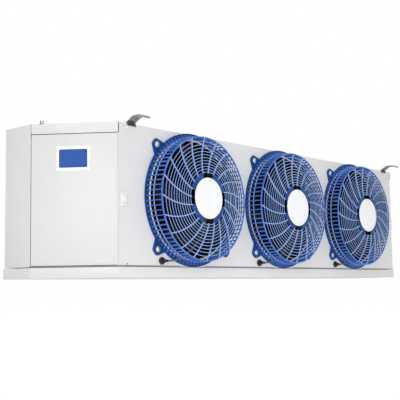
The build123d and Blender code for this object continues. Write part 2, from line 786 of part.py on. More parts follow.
def main():
    os.makedirs("parts", exist_ok=True)
    suction_x, liquid_x = header_place()[0], liquid_place()[0]
    suction_hole = (suction_x, SUCTION_Z, SUCTION_R + PIPE_SLEEVE + PIPE_CLEAR)
    liquid_hole = (liquid_x, LIQUID_Z, LIQUID_R + PIPE_SLEEVE + PIPE_CLEAR)
    save("fan_panel", fan_panel())
    save("roof_panel", roof_panel())
    save("rear_rail", rear_rail())
    save("drain_pan", drain_pan())
    save("pan_hinges", pan_hinges())
    save("drain_fitting", drain_fitting())
    save("coil_fin_pack", coil_fin_pack())
    save("suction_header", suction_header())
    save("liquid_line", liquid_line())
    save("electrical_box", electrical_box())
    save("electrical_box_lid", electrical_box_lid())
    save("guard_screws", guard_screws())
    for name, side in (("left", -1), ("right", 1)):
        save(f"end_panel_{name}", end_panel(side))
        save(f"rear_cover_{name}", rear_cover(side, [suction_hole, liquid_hole] if side > 0 else []))
        save(f"tube_plate_{name}", tube_plate(side))
        save(f"access_door_{name}", access_door(side))
        save(f"door_pivots_{name}", door_pivots(side))
        save(f"door_catch_{name}", door_catch(side))
        save(f"return_bends_{name}", return_bends(side))
        save(f"hanger_front_{name}", hanger(side, -1))
        save(f"hanger_rear_{name}", hanger(side, 1))
    for k, (x0, x1) in enumerate(zip(FAN_X, FAN_X[1:]), 1):
        save(f"fan_baffle_{k}", baffle((x0 + x1) / 2))
    per_fan = {
        "fan_guard": fan_guard(),
        "hub_disk": hub_disk(),
        "fan_motor": motor(),
        "fan_blades": fan_blades(),
        "motor_cable": motor_cable(),
        "cable_plug": cable_plug(),
    }
    for k, x in enumerate(FAN_X, 1):
        for name, shape in per_fan.items():
            save(f"{name}_{k}", at_fan(x) * shape)


main()
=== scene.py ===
# %% [markdown]
# # Walk-in unit cooler, dressed for its picture
#
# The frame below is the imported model: every sheet, fan and hinge of the cooler, each on the body
# that moves it. This lesson gives those pieces their paint and metal, and replaces the ones whose
# plain solids are too simple, such as the swirl guards, the fans and the finned coil.
# Everything is in metres, in the model's own frame, and nothing in the frame is moved.

# %% Load the frame
import json
import math
import bmesh
import bpy
from mathutils import Matrix, Vector

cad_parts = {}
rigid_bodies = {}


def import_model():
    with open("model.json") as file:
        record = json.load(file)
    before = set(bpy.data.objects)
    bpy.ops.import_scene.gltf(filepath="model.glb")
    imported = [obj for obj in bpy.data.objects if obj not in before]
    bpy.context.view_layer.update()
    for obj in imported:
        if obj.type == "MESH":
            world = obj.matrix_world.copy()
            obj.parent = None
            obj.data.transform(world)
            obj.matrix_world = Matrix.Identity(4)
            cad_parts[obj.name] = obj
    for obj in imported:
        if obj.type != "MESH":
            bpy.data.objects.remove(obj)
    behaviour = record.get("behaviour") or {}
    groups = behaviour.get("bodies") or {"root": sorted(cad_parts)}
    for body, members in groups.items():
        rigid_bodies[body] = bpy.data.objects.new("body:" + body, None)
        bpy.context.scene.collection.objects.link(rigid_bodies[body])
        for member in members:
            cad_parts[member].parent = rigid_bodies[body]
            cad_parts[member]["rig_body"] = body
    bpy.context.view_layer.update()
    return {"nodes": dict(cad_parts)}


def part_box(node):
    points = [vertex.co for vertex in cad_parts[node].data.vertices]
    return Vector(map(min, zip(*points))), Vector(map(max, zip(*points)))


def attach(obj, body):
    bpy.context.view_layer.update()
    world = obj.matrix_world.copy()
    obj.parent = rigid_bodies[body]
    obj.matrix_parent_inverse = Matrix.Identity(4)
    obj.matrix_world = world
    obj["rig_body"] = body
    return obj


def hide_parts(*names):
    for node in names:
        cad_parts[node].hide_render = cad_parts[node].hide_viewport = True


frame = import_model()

scene = bpy.context.scene
nodes = frame["nodes"]

# %% [markdown]
# ## Where things are
#
# Places come from the frame, so a change of the model carries over. A fan has a frame of its own:
# a runs to the right, b up and c out of the front sheet towards the room.
# Writing each guard in that frame once, and placing it three times, keeps the three the same.

# %% Sizes read from the frame
FRONT_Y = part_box("fan_panel")[0].y
PANEL_LOW, PANEL_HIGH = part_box("fan_panel")
FANS = {}
for k in (1, 2, 3):
    low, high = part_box(f"hub_disk_{k}")
    FANS[k] = Vector(((low.x + high.x) / 2, FRONT_Y, (low.z + high.z) / 2))
ROOF_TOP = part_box("roof_panel")[1].z
PAN_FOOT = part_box("drain_pan")[0].z
REAR_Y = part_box("rear_rail")[1].y
DOOR_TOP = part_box("access_door_left")[1].z
# The front sheet ends a little outside the right-hand catch.
HALF_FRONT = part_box("door_catch_right")[1].x + 0.009
# How far a door's chamfer goes outwards and back.
CHAMFER = Vector((0.225, 0.305))
print("fan centres", [tuple(round(v, 4) for v in c) for c in FANS.values()])


def fan_matrix(k):
    """Turns a fan's own frame (a, b, c) into the row frame."""
    return Matrix.Translation(FANS[k]) @ Matrix(((1, 0, 0, 0), (0, 0, -1, 0), (0, 1, 0, 0), (0, 0, 0, 1)))


def chamfer_matrix(side):
    """A chamfer's frame: along it from its front corner, out of it, and up from the row's origin."""
    along = Vector((side * CHAMFER.x, CHAMFER.y, 0)).normalized()
    outward = Vector((side * CHAMFER.y, -CHAMFER.x, 0)).normalized()
    start = Vector((side * HALF_FRONT, FRONT_Y, 0))
    return Matrix(
        (
            (along.x, outward.x, 0, start.x),
            (along.y, outward.y, 0, start.y),
            (0, 0, 1, 0),
            (0, 0, 0, 1),
        )
    )


# %% [markdown]
# ## Shared surface effects
#
# Powder coat has a fine orange peel, moulded plastic a faint grain, galvanised sheet its spangle,
# and every one of them drifts a little in tone. These could be painted per material, but each
# effect is used many times, so each is a small node group: it takes a scale and an amount, and gives
# back a colour, a mask or a height. The shader itself stays in the material.

# %% Helpers for node trees
FLOAT, COLOUR = "NodeSocketFloat", "NodeSocketColor"
WHITE = (1.0, 1.0, 1.0, 1.0)


class Graph:
    """Short words for adding nodes and sums to a tree, in shaders and in Geometry Nodes alike."""

    def __init__(self, tree, group=True):
        self.tree = tree
        if group:
            self.given = tree.nodes.new("NodeGroupInput").outputs
            self.result = tree.nodes.new("NodeGroupOutput").inputs

    def feed(self, socket, value):
        """A socket takes another node's output, or a value of its own."""
        if isinstance(value, bpy.types.NodeSocket):
            self.tree.links.new(value, socket)
        elif value is not None:
            socket.default_value = value

    def add(self, kind, values=None, **settings):
        """A node with its settings, and with its inputs fed."""
        node = self.tree.nodes.new(kind)
        for key, value in settings.items():
            setattr(node, key, value)
        for key, value in (values or {}).items():
            self.feed(node.inputs[key], value)
        return node

    def math(self, operation, a, b=None, **settings):
        return self.add("ShaderNodeMath", {0: a, 1: b}, operation=operation, **settings).outputs[0]

    def vector(self, x, y, z):
        return self.add("ShaderNodeCombineXYZ", {"X": x, "Y": y, "Z": z}).outputs[0]

    def place(self):
        """A point's place on the piece, in metres."""
        return self.add("ShaderNodeTexCoord").outputs["Object"]

    def noise(self, values):
        return self.add("ShaderNodeTexNoise", {"Vector": self.place()} | values).outputs["Fac"]

    def spread(self, value, low, high, out_low=None, out_high=None):
        """Stretches the range from low to high over another one, 0 to 1 unless it is given."""
        return self.add("ShaderNodeMapRange", {"Value": value, "From Min": low, "From Max": high,
                                               "To Min": out_low, "To Max": out_high}).outputs["Result"]

    def blend(self, share, main, other):
        """A mix of two colours."""
        values = {"Factor": share, "A": main, "B": other}
        return self.add("ShaderNodeMix", values, data_type="RGBA").outputs["Result"]


def shader_group(name, inputs, outputs):
    """A shader group with named sockets, ready for its nodes."""
    tree = bpy.data.node_groups.new(name, "ShaderNodeTree")
    for label, kind, value in inputs:
        tree.interface.new_socket(label, in_out="INPUT", socket_type=kind).default_value = value
    for label, kind in outputs:
        tree.interface.new_socket(label, in_out="OUTPUT", socket_type=kind)
    return Graph(tree)


# %% Tone drift: a slow mottle between two colours
def build_tone_drift():
    inputs = [("Main", COLOUR, WHITE), ("Other", COLOUR, WHITE),
              ("Scale", FLOAT, 3.0), ("Amount", FLOAT, 0.5)]
    g = shader_group("tone_drift", inputs, [("Color", COLOUR)])
    patches = g.spread(g.noise({"Detail": 3.0, "Scale": g.given["Scale"]}), 0.35, 0.65)
    share = g.math("MULTIPLY", patches, g.given["Amount"])
    g.feed(g.result["Color"], g.blend(share, g.given["Main"], g.given["Other"]))
    return g.tree


# %% Fine grain: orange peel on paint, grain on plastic
def build_fine_grain():
    g = shader_group("fine_grain", [("Scale", FLOAT, 900.0), ("Low", FLOAT, 0.3), ("High", FLOAT, 0.4)],
                     [("Height", FLOAT), ("Roughness", FLOAT)])
    g.feed(g.result["Height"], g.noise({"Detail": 1.0, "Scale": g.given["Scale"]}))
    patches = g.noise({"Scale": 11.0, "Detail": 4.0})
    g.feed(g.result["Roughness"], g.spread(patches, 0.3, 0.7, g.given["Low"], g.given["High"]))
    return g.tree


# %% Handling marks: a sparse mask of rubs and dust
def build_handling():
    g = shader_group("handling", [("Scale", FLOAT, 14.0), ("Share", FLOAT, 0.3)], [("Mask", FLOAT)])
    patches = g.noise({"Detail": 6.0, "Roughness": 0.7, "Scale": g.given["Scale"]})
    mask = g.math("MULTIPLY", g.spread(patches, 0.56, 0.74), g.given["Share"], use_clamp=True)
    g.feed(g.result["Mask"], mask)
    return g.tree


# %% Spangle: the crystal pattern of zinc on sheet steel
def build_spangle():
    inputs = [("Scale", FLOAT, 60.0), ("Dark", COLOUR, (0.4, 0.4, 0.42, 1)),
              ("Light", COLOUR, (0.7, 0.7, 0.72, 1))]
    g = shader_group("spangle", inputs, [("Color", COLOUR), ("Roughness", FLOAT), ("Height", FLOAT)])
    cells = g.add("ShaderNodeTexVoronoi", {"Vector": g.place(), "Scale": g.given["Scale"]})
    # Each crystal has a colour of its own at random: its three channels drive three effects.
    grey = g.add("ShaderNodeSeparateColor", {"Color": cells.outputs["Color"]}).outputs
    g.feed(g.result["Color"], g.blend(grey["Red"], g.given["Dark"], g.given["Light"]))
    g.feed(g.result["Roughness"], g.spread(grey["Green"], None, None, 0.34, 0.52))
    g.feed(g.result["Height"], grey["Blue"])
    return g.tree


TONE_DRIFT = build_tone_drift()
FINE_GRAIN = build_fine_grain()
HANDLING = build_handling()
SPANGLE = build_spangle()
print("effect groups", [g.name for g in bpy.data.node_groups])


# %% [markdown]
# ## Finishes
#
# The cooler has few finishes: white powder coat on aluminium sheet, galvanised steel inside, blue
# polypropylene guards, black motors and fans, zinc-plated fasteners, copper pipe. Paint and plastic
# share one recipe, a tone drift, a grain and a few handling marks; the metals share another.

# %% Linear colour from a screen colour
def tone(red, green, blue):
    """A colour given as it shows on a screen, 0 to 255, made linear."""
    out = []
    for v in (red, green, blue):
        v = v / 255
        out.append(v / 12.92 if v <= 0.04045 else ((v + 0.055) / 1.055) ** 2.4)
    return (*out, 1.0)


# %% The recipe that all finishes share
def finish_graph(name, looks):
    """A material's graph and its shader, with the shader's plain values set."""
    material = bpy.data.materials.new(name)
    material.use_nodes = True
    graph = Graph(material.node_tree, group=False)
    shader = material.node_tree.nodes["Principled BSDF"].inputs
    for label, value in looks.items():
        shader[label].default_value = value
    return material, graph, shader


def effect(graph, tree, values):
    """A shared effect placed in a material, with its own values."""
    return graph.add("ShaderNodeGroup", values, node_tree=tree).outputs


def surface(graph, shader, colour, roughness, height, marks, mark_tone, strength, distance):
    """Joins a colour with its marks, a roughness and a relief to the shader."""
    rubbed = effect(graph, HANDLING, marks)["Mask"]
    graph.feed(shader["Base Color"], graph.blend(rubbed, colour, tone(*mark_tone)))
    graph.feed(shader["Roughness"], roughness)
    bump = graph.add("ShaderNodeBump", {"Strength": strength, "Distance": distance, "Height": height})
    graph.feed(shader["Normal"], bump.outputs["Normal"])


# %% A coat or a moulded plastic
def coated(name, main, other, rough, grain, marks, mark_tone, coat=0.0, drift=(3.0, 0.6), gloss=0.5):
    """Paint or plastic: a drifting tone, a grain (scale, height) and marks of handling."""
    material, graph, shader = finish_graph(
        name, {"Coat Weight": coat, "Coat Roughness": 0.12, "Specular IOR Level": gloss})
    colour = effect(graph, TONE_DRIFT, {"Main": tone(*main), "Other": tone(*other), "Scale": drift[0],
                                        "Amount": drift[1]})["Color"]
    peel = effect(graph, FINE_GRAIN, {"Scale": grain[0], "Low": rough[0], "High": rough[1]})
    surface(graph, shader, colour, peel["Roughness"], peel["Height"],
            {"Share": marks}, mark_tone, 0.25, grain[1])
    return material


# %% A bare or plated metal
def metallic(name, dark, light, scale, worn, worn_tone, relief=0.0002):
    """Metal with crystals or patches of two tones, and marks where it has been handled."""
    material, graph, shader = finish_graph(name, {"Metallic": 0.85})
    crystals = effect(graph, SPANGLE, {"Scale": scale, "Dark": tone(*dark), "Light": tone(*light)})
    surface(graph, shader, crystals["Color"], crystals["Roughness"], crystals["Height"],
            {"Scale": 30.0, "Share": worn}, worn_tone, 0.2, relief)
    return material


# %% The cooler's finishes
WHITE_COAT = coated("white_powder_coat", (233, 233, 233), (228, 228, 229), (0.34, 0.44), (850.0, 0.00012),
                    0.12, (212, 212, 212))
PAN_COAT = coated("pan_powder_coat", (231, 231, 231), (225, 225, 226), (0.3, 0.42), (850.0, 0.00012),
                  0.18, (210, 210, 212))
COLLAR_WHITE = coated("collar_white", (246, 247, 250), (240, 241, 245), (0.22, 0.32), (700.0, 0.0001),
                      0.1, (220, 221, 224), coat=0.3)
BLUE_PLASTIC = coated("blue_guard_plastic", (14, 76, 150), (6, 52, 116), (0.34, 0.46), (1300.0, 0.00008),
                      0.1, (60, 106, 176), drift=(9.0, 0.9), gloss=0.28)
# Painted highlight: a light copy of the guard's blue for the tops of ribs and rings, where light catches
# them.
BLUE_BRIGHT_HIGHLIGHT = coated("blue_rib_plastic", (160, 192, 248), (136, 172, 240), (0.25, 0.36), (1300.0, 0.00006),
                     0.1, (176, 204, 248), drift=(6.0, 0.7), gloss=0.4)
# Softer painted highlight: a lighter copy of the guard's blue for the drum's bars and rim, as lit from the
# left.
BLUE_SOFT_HIGHLIGHT = coated("blue_bar_plastic", (92, 140, 222), (58, 104, 196), (0.3, 0.42), (1300.0, 0.00006),
                     0.1, (100, 144, 216), drift=(9.0, 0.8), gloss=0.3)
# Painted shade: a dark navy copy of the guard's blue for the sides of its rings, which lie in shade.
BLUE_SHADE = coated("navy_ring_plastic", (14, 24, 68), (9, 15, 46), (0.35, 0.5), (1300.0, 0.00006),
                      0.1, (40, 56, 110), drift=(8.0, 0.8), gloss=0.25)
DISK_WHITE = coated("disk_white_plastic", (250, 251, 253), (246, 248, 251), (0.2, 0.3), (900.0, 0.00006),
                    0.06, (232, 234, 238), coat=0.4)
FAN_BLACK = coated("fan_black_plastic", (22, 22, 25), (30, 30, 34), (0.35, 0.5), (700.0, 0.00015),
                   0.3, (40, 39, 38), drift=(9.0, 0.8), gloss=0.12)
MOTOR_BLACK = coated("motor_black_paint", (17, 17, 19), (25, 25, 28), (0.3, 0.45), (500.0, 0.0002),
                     0.25, (38, 37, 36), drift=(12.0, 0.8), gloss=0.15)
PLUG_BLACK = coated("plug_black_plastic", (20, 20, 22), (28, 28, 30), (0.38, 0.5), (1500.0, 0.0001),
                    0.2, (66, 66, 68), drift=(20.0, 0.8))
CABLE_RUBBER = coated("cable_rubber", (122, 106, 98), (100, 88, 82), (0.5, 0.64), (2200.0, 0.00008),
                      0.35, (136, 124, 116), drift=(25.0, 0.8))
STICKER_WHITE = coated("plate_white_film", (252, 252, 253), (249, 250, 252), (0.2, 0.28), (400.0, 0.00004),
                       0.05, (236, 237, 240), coat=0.4)
STICKER_BLUE = coated("plate_blue_ink", (24, 84, 168), (18, 76, 160), (0.34, 0.44), (400.0, 0.00004),
                      0.08, (60, 112, 186), drift=(14.0, 0.7), gloss=0.25)
GALVANISED = metallic("galvanised_sheet", (150, 153, 157), (196, 199, 203), 70.0, 0.25, (120, 121, 122))
STRAP_STEEL = metallic("strap_steel", (128, 129, 132), (182, 183, 186), 130.0, 0.4, (62, 60, 60))
ZINC = metallic("zinc_plate", (190, 192, 190), (232, 233, 230), 400.0, 0.2, (150, 148, 138), 0.00005)
FIN_METAL = metallic("fin_aluminium", (170, 173, 176), (206, 208, 211), 220.0, 0.2, (140, 142, 144))
# Painted shade: a dark copy of the fin metal for the deep inside of the coil.
FIN_SHADE = metallic("fin_core", (70, 72, 76), (96, 99, 104), 220.0, 0.3, (50, 52, 55))
COPPER = metallic("copper_tube", (178, 104, 70), (214, 140, 104), 90.0, 0.5, (120, 66, 46))
BRASS = metallic("drain_brass", (176, 140, 74), (208, 172, 104), 160.0, 0.3, (120, 92, 50))
print("finishes", len(bpy.data.materials))


# %% [markdown]
# ## Helpers for meshes
#
# A piece is easiest to reason about in a small frame of its own, and then it is moved into place by
# changing its vertices, so the object itself stays at the origin and patterns don't slide.

# %% Making and placing a mesh
def finish_piece(name, mesh, body, material, smooth=None):
    """Links a mesh as a piece on a body; smooth is the angle up to which edges are shaded round."""
    piece = bpy.data.objects.new(name, mesh)
    scene.collection.objects.link(piece)
    if not mesh.materials:
        for item in material if isinstance(material, list) else [material]:
            mesh.materials.append(item)
    if smooth is not None:
        shade_round(mesh, smooth)
    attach(piece, body)
    return piece


def shade_round(mesh, degrees):
    """Smooth faces, with edges sharper than the angle kept sharp."""
    bm = bmesh.new()
    bm.from_mesh(mesh)
    limit = math.radians(degrees)
    for face in bm.faces:
        face.smooth = True
    for edge in bm.edges:
        edge.smooth = len(edge.link_faces) == 2 and edge.calc_face_angle(0) < limit
    bm.to_mesh(mesh)
    bm.free()


def mesh_as_drawn(bm, name):
    """A bmesh written to a new mesh just as it is."""
    mesh = bpy.data.meshes.new(name)
    bm.to_mesh(mesh)
    bm.free()
    return mesh


def mesh_of(bm, name):
    """A bmesh written to a new mesh, with its corners merged and its normals pointing outwards."""
    bmesh.ops.remove_doubles(bm, verts=bm.verts, dist=1e-6)
    bmesh.ops.recalc_face_normals(bm, faces=bm.faces)
    return mesh_as_drawn(bm, name)


# %% Turned shapes and boxes
def lathe(bm, profile, steps, matrix=Matrix.Identity(4), material=0, closed=True):
    """Turns a profile of (radius, height) points round the local z axis; closed joins its two ends."""
    rows = []
    for r, h in profile:
        if r < 1e-7:
            rows.append([bm.verts.new(matrix @ Vector((0, 0, h)))])
            continue
        ring = []
        for s in range(steps):
            a = 2 * math.pi * s / steps
            ring.append(bm.verts.new(matrix @ Vector((r * math.cos(a), r * math.sin(a), h))))
        rows.append(ring)
    pairs = list(zip(rows, rows[1:]))
    if closed:
        pairs.append((rows[-1], rows[0]))
    for low, high in pairs:
        for s in range(steps):
            corners = [low[s % len(low)], low[(s + 1) % steps % len(low)]]
            corners += [high[(s + 1) % steps % len(high)], high[s % len(high)]]
            corners = list(dict.fromkeys(corners))
            if len(corners) > 2:
                bm.faces.new(corners).material_index = material


def box_into(bm, low, high, matrix=Matrix.Identity(4), bevel=0.0, material=0):
    """A box between two corners with its edges softened."""
    size = Vector(high) - Vector(low)
    middle = (Vector(high) + Vector(low)) / 2
    made = bmesh.ops.create_cube(bm, size=1.0)["verts"]
    for v in made:
        v.co = Vector((v.co.x * size.x, v.co.y * size.y, v.co.z * size.z)) + middle
    faces = {f for v in made for f in v.link_faces}
    for f in faces:
        f.material_index = material
    if bevel:
        edges = list({e for v in made for e in v.link_edges})
        out = bmesh.ops.bevel(bm, geom=edges, offset=bevel, segments=2, profile=0.5, affect="EDGES")
        made = list({v for f in out["faces"] for v in f.verts} | {v for v in made if v.is_valid})
    for v in made:
        v.co = matrix @ v.co


# %% A softened copy of a frame piece
def softened(name, node, width, material, segments=2, round_angle=38):
    """A copy of a frame piece with merged corners and rounded folds, which stands in for it."""
    source = nodes[node]
    bm = bmesh.new()
    bm.from_mesh(source.data)
    bmesh.ops.remove_doubles(bm, verts=bm.verts, dist=2e-6)
    bmesh.ops.dissolve_limit(bm, angle_limit=math.radians(1.0), verts=bm.verts, edges=bm.edges)
    edges = [e for e in bm.edges if len(e.link_faces) == 2 and e.calc_face_angle(0) > math.radians(25)]
    bmesh.ops.bevel(bm, geom=edges, offset=width, segments=segments, profile=0.5, affect="EDGES",
                    clamp_overlap=True)
    piece = finish_piece(name, mesh_as_drawn(bm, name), source["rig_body"], material, round_angle)
    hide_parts(node)
    return piece


# %% A piece on each fan
def on_fan(k, name, mesh, body, material, smooth, node):
    """A mesh drawn in a fan's own frame, moved to fan k, where it stands in for that fan's piece."""
    mesh.transform(fan_matrix(k))
    piece = finish_piece(f"{name}_{k}", mesh, body, material, smooth)
    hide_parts(f"{node}_{k}")
    return piece


# %% [markdown]
# ## Cabinet sheets
#
# The casing is thin painted sheet, folded at its corners. A fold always has a small radius, and it is
# that radius that catches the light as a fine line. The frame's sheets have knife edges, so each
# shown sheet is a copy with its edges rounded by a fraction of its thickness.

# %% Painted sheets with rounded folds
for node in ("roof_panel", "end_panel_left", "end_panel_right", "rear_cover_left", "rear_cover_right"):
    softened(node + "_sheet", node, 0.0006, WHITE_COAT)
for side in ("left", "right"):
    softened(f"access_door_{side}_sheet", f"access_door_{side}", 0.0006, WHITE_COAT)
    softened(f"door_catch_{side}_moulding", f"door_catch_{side}", 0.0008, COLLAR_WHITE)
softened("drain_pan_tray", "drain_pan", 0.0006, PAN_COAT)

# %% Galvanised sheets, straps and small steel
for node in ("tube_plate_left", "tube_plate_right", "fan_baffle_1", "fan_baffle_2", "rear_rail",
             "electrical_box", "electrical_box_lid"):
    softened(node + "_steel", node, 0.0004, GALVANISED)
for side in ("left", "right"):
    softened(f"door_pivots_{side}_steel", f"door_pivots_{side}", 0.0003, ZINC)
softened("pan_hinges_steel", "pan_hinges", 0.0005, ZINC)


# %% [markdown]
# ## Hanger straps
#
# A strap is bent from one flat bar: its foot lies on the roof, its arm climbs off the edge, levels
# out round the slot for the hanging rod and turns down at the tip. A black block hooks over the edge
# of the roof as painted shade, standing for the shaded underside of the strap there. The bar is a side
# view with rounded bends, given its width, with the slot left out.

# %% The strap's side view
SLOT_OUT, SLOT_LONG, SLOT_WIDE, BAR = 0.055, 0.030, 0.013, 0.0032
STRAP_NEAR, STRAP_FAR = 1.060, 1.110


def strap_line(end):
    """The strap's centreline from its foot to its tip, as (y, z), for the front or the rear end."""
    edge, under = end * abs(FRONT_Y), ROOF_TOP + BAR / 2
    top = -BAR / 2
    return [(edge - end * 0.061, under), (edge - end * 0.020, under), (edge - end * 0.006, under + 0.0012),
            (edge + end * 0.022, top - 0.0075), (edge + end * 0.032, top - 0.0015), (edge + end * 0.040, top),
            (edge + end * 0.070, top), (edge + end * 0.080, top - 0.0008), (edge + end * 0.088, top - 0.0050),
            (edge + end * 0.0935, top - 0.0120)]


# %% Bend the straps
def strap_mesh(side, end):
    """The strap at one end of the roof, with its slot left out and a black block under it at the roof's edge
    as painted shade.
    """
    bm = bmesh.new()
    x0, x1 = side * STRAP_NEAR, side * STRAP_FAR
    middle, slot_y = (x0 + x1) / 2, end * (abs(FRONT_Y) + SLOT_OUT)
    # Across the strap: outer edges, then the slot's sides and its rounded ends.
    across = [x0, middle - side * SLOT_LONG / 2, middle + side * SLOT_LONG / 2, x1]
    slot_ends = [(slot_y - end * SLOT_WIDE / 2, -BAR / 2), (slot_y + end * SLOT_WIDE / 2, -BAR / 2)]
    line = sorted(strap_line(end) + slot_ends, key=lambda p: p[0] * end)
    rows = []
    for i, (y, z) in enumerate(line):
        before, after = line[max(i - 1, 0)], line[min(i + 1, len(line) - 1)]
        along = Vector((0, after[0] - before[0], after[1] - before[1])).normalized()
        normal = Vector((0, -along.z, along.y)) * end
        rows.append([[bm.verts.new(Vector((x, y, z)) + normal * face * BAR / 2) for x in across]
                     for face in (-1, 1)])
    for i, (low, high) in enumerate(zip(rows, rows[1:])):
        in_slot = abs((line[i][0] + line[i + 1][0]) / 2 - slot_y) < SLOT_WIDE / 2
        for j in range(3):
            if j == 1 and in_slot:
                continue
            for face in (0, 1):
                bm.faces.new((low[face][j], low[face][j + 1], high[face][j + 1], high[face][j]))
        for j in (0, 3):
            bm.faces.new((low[0][j], low[1][j], high[1][j], high[0][j]))
        if in_slot:
            for j in (1, 2):
                bm.faces.new((low[0][j], low[1][j], high[1][j], high[0][j]))
            for row in (low, high):
                bm.faces.new((row[0][1], row[0][2], row[1][2], row[1][1]))
    for row in (rows[0], rows[-1]):
        for j in range(3):
            bm.faces.new((row[0][j], row[0][j + 1], row[1][j + 1], row[1][j]))
    edges = [e for e in bm.edges if len(e.link_faces) == 2 and e.calc_face_angle(0) > math.radians(50)]
    bmesh.ops.bevel(bm, geom=edges, offset=0.0007, segments=2, profile=0.5, affect="EDGES",
                    clamp_overlap=True)
    # Painted shade: a black block at the roof's edge stands for the shade under the strap.
    edge = end * abs(FRONT_Y)
    lip_low, lip_high = sorted((edge + end * 0.0006, edge + end * 0.0050))
    box_into(bm, (min(x0, x1), lip_low, ROOF_TOP - 0.0100), (max(x0, x1), lip_high, ROOF_TOP + 0.0022),
             Matrix.Identity(4), 0.0010, 1)
    return mesh_of(bm, "strap")


for side, name in ((-1, "left"), (1, "right")):
    for end, place in ((-1, "front"), (1, "rear")):
        strap = finish_piece(f"hanger_strap_{place}_{name}", strap_mesh(side, end), "cabinet",
                             [STRAP_STEEL, PLUG_BLACK], 45)
        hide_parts(f"hanger_{place}_{name}")
print("straps 4 of", len(strap.data.polygons), "faces")


# %% [markdown]
# ## Front sheet and its collars
#
# The front sheet has three round mouths. Each is drawn into a collar that leads the air to the
# blades: it rises a little from the sheet, rolls over, and narrows inwards. A boolean would leave
# a hard edge there, so each third of the sheet is made as rays from a mouth to its own rectangle,
# and the collar continues the same rays inwards. Solidify then gives all of it the sheet's thickness.

# %% The collar's profile, and rays over a rectangle
THROAT_R, COLLAR_D, SHEET = 0.262, 0.042, 0.0015
COLLAR_PROFILE = [
    (0.2815, 0.0), (0.2803, 0.0012), (0.2796, 0.0032), (0.2782, 0.0046), (0.2762, 0.0048),
    (0.2738, 0.0036), (0.2714, 0.0008), (0.2688, -0.0050), (0.2664, -0.0130), (0.2645, -0.0240),
    (THROAT_R + 0.0004, -0.0360), (THROAT_R, -COLLAR_D),
]


def rectangle_ray(angle, left, right, low, high):
    """Where a ray from the origin leaves a rectangle."""
    dx, dz = math.cos(angle), math.sin(angle)
    reach = min(
        (right / dx) if dx > 1e-9 else (left / dx) if dx < -1e-9 else 1e9,
        (high / dz) if dz > 1e-9 else (low / dz) if dz < -1e-9 else 1e9,
    )
    return dx * reach, dz * reach


# %% Build the front sheet
def front_sheet_mesh(steps=96):
    """Rays from each mouth to its own rectangle, then the collar's rings inwards."""
    bm = bmesh.new()
    cuts = [-HALF_FRONT, *[(FANS[k].x + FANS[k + 1].x) / 2 for k in (1, 2)], HALF_FRONT]
    for k, centre in FANS.items():
        left, right = cuts[k - 1] - centre.x, cuts[k] - centre.x
        low, high = PANEL_LOW.z - centre.z, PANEL_HIGH.z - centre.z
        angles = [2 * math.pi * s / steps for s in range(steps)]
        angles += [math.atan2(z, x) % (2 * math.pi) for x in (left, right) for z in (low, high)]
        angles = sorted(set(round(a, 6) for a in angles))
        loops = [[bm.verts.new((centre.x + x, FRONT_Y, centre.z + z)) for x, z in
                  (rectangle_ray(a, left, right, low, high) for a in angles)]]
        for r, out in COLLAR_PROFILE:
            loops.append([bm.verts.new((centre.x + r * math.cos(a), FRONT_Y - out,
                                        centre.z + r * math.sin(a))) for a in angles])
        for row, (outer, inner) in enumerate(zip(loops, loops[1:])):
            for s in range(len(angles)):
                t = (s + 1) % len(angles)
                face = bm.faces.new((outer[s], outer[t], inner[t], inner[s]))
                # Row 0 is the front sheet and rows 1 to 5 the collar's white roll; the inner rows take the
                # black fan plastic as painted shade in the collar's throat.
                face.material_index = 0 if row == 0 else 1 if row < 6 else 2
    bmesh.ops.remove_doubles(bm, verts=bm.verts, dist=1e-5)
    return mesh_as_drawn(bm, "front_sheet")


# The black finish here is painted shade on the collar's throat.
front_sheet = finish_piece("front_sheet", front_sheet_mesh(), "cabinet",
                           [WHITE_COAT, COLLAR_WHITE, FAN_BLACK], 30)
thick = front_sheet.modifiers.new("thickness", "SOLIDIFY")
thick.thickness = SHEET
thick.offset = -1.0
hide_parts("fan_panel")
depsgraph = bpy.context.evaluated_depsgraph_get()
check = front_sheet.evaluated_get(depsgraph).data
print("front sheet", len(check.polygons), "faces, y", round(min(v.co.y for v in check.vertices), 4),
      round(max(v.co.y for v in check.vertices), 4))


# %% The jambs behind both doors
def jamb_mesh():
    """A narrow strip just inside each door, at its joint with the front sheet."""
    bm = bmesh.new()
    for side in (-1, 1):
        matrix = chamfer_matrix(side)
        box_into(bm, (0.0, -0.0036, PANEL_LOW.z), (0.022, -0.0021, DOOR_TOP), matrix, 0.0003)
    return mesh_of(bm, "door_jambs")


door_jambs = finish_piece("door_jambs", jamb_mesh(), "cabinet", WHITE_COAT, 40)
print("jamb strips", len(door_jambs.data.polygons), "faces")


# %% [markdown]
# ## Swirl guards
#
# A guard is one blue moulding: a flange with four ears, a drum of thin bars, a domed face of eleven
# rings, and twenty ribs that turn as they run in to the hub. Nearly all of it repeats, so it is
# a Geometry Nodes tree: one bar, one rib and one ring, each placed by its number. The same tree
# would make a guard for any fan, because its sizes are inputs.

# %% Helpers for Geometry Nodes
def geometry_tree(name, inputs):
    """A Geometry Nodes tree with named inputs, and a dictionary of their sockets."""
    tree = bpy.data.node_groups.new(name, "GeometryNodeTree")
    tree.interface.new_socket("Geometry", in_out="INPUT", socket_type="NodeSocketGeometry")
    tree.interface.new_socket("Geometry", in_out="OUTPUT", socket_type="NodeSocketGeometry")
    kinds = {float: "NodeSocketFloat", int: "NodeSocketInt", "material": "NodeSocketMaterial"}
    ids = {}
    for label, value in inputs:
        kind = kinds.get(type(value), kinds["material"])
        socket = tree.interface.new_socket(label, in_out="INPUT", socket_type=kind)
        if kind != kinds["material"]:
            socket.default_value = value
        ids[label] = socket.identifier
    return tree, ids


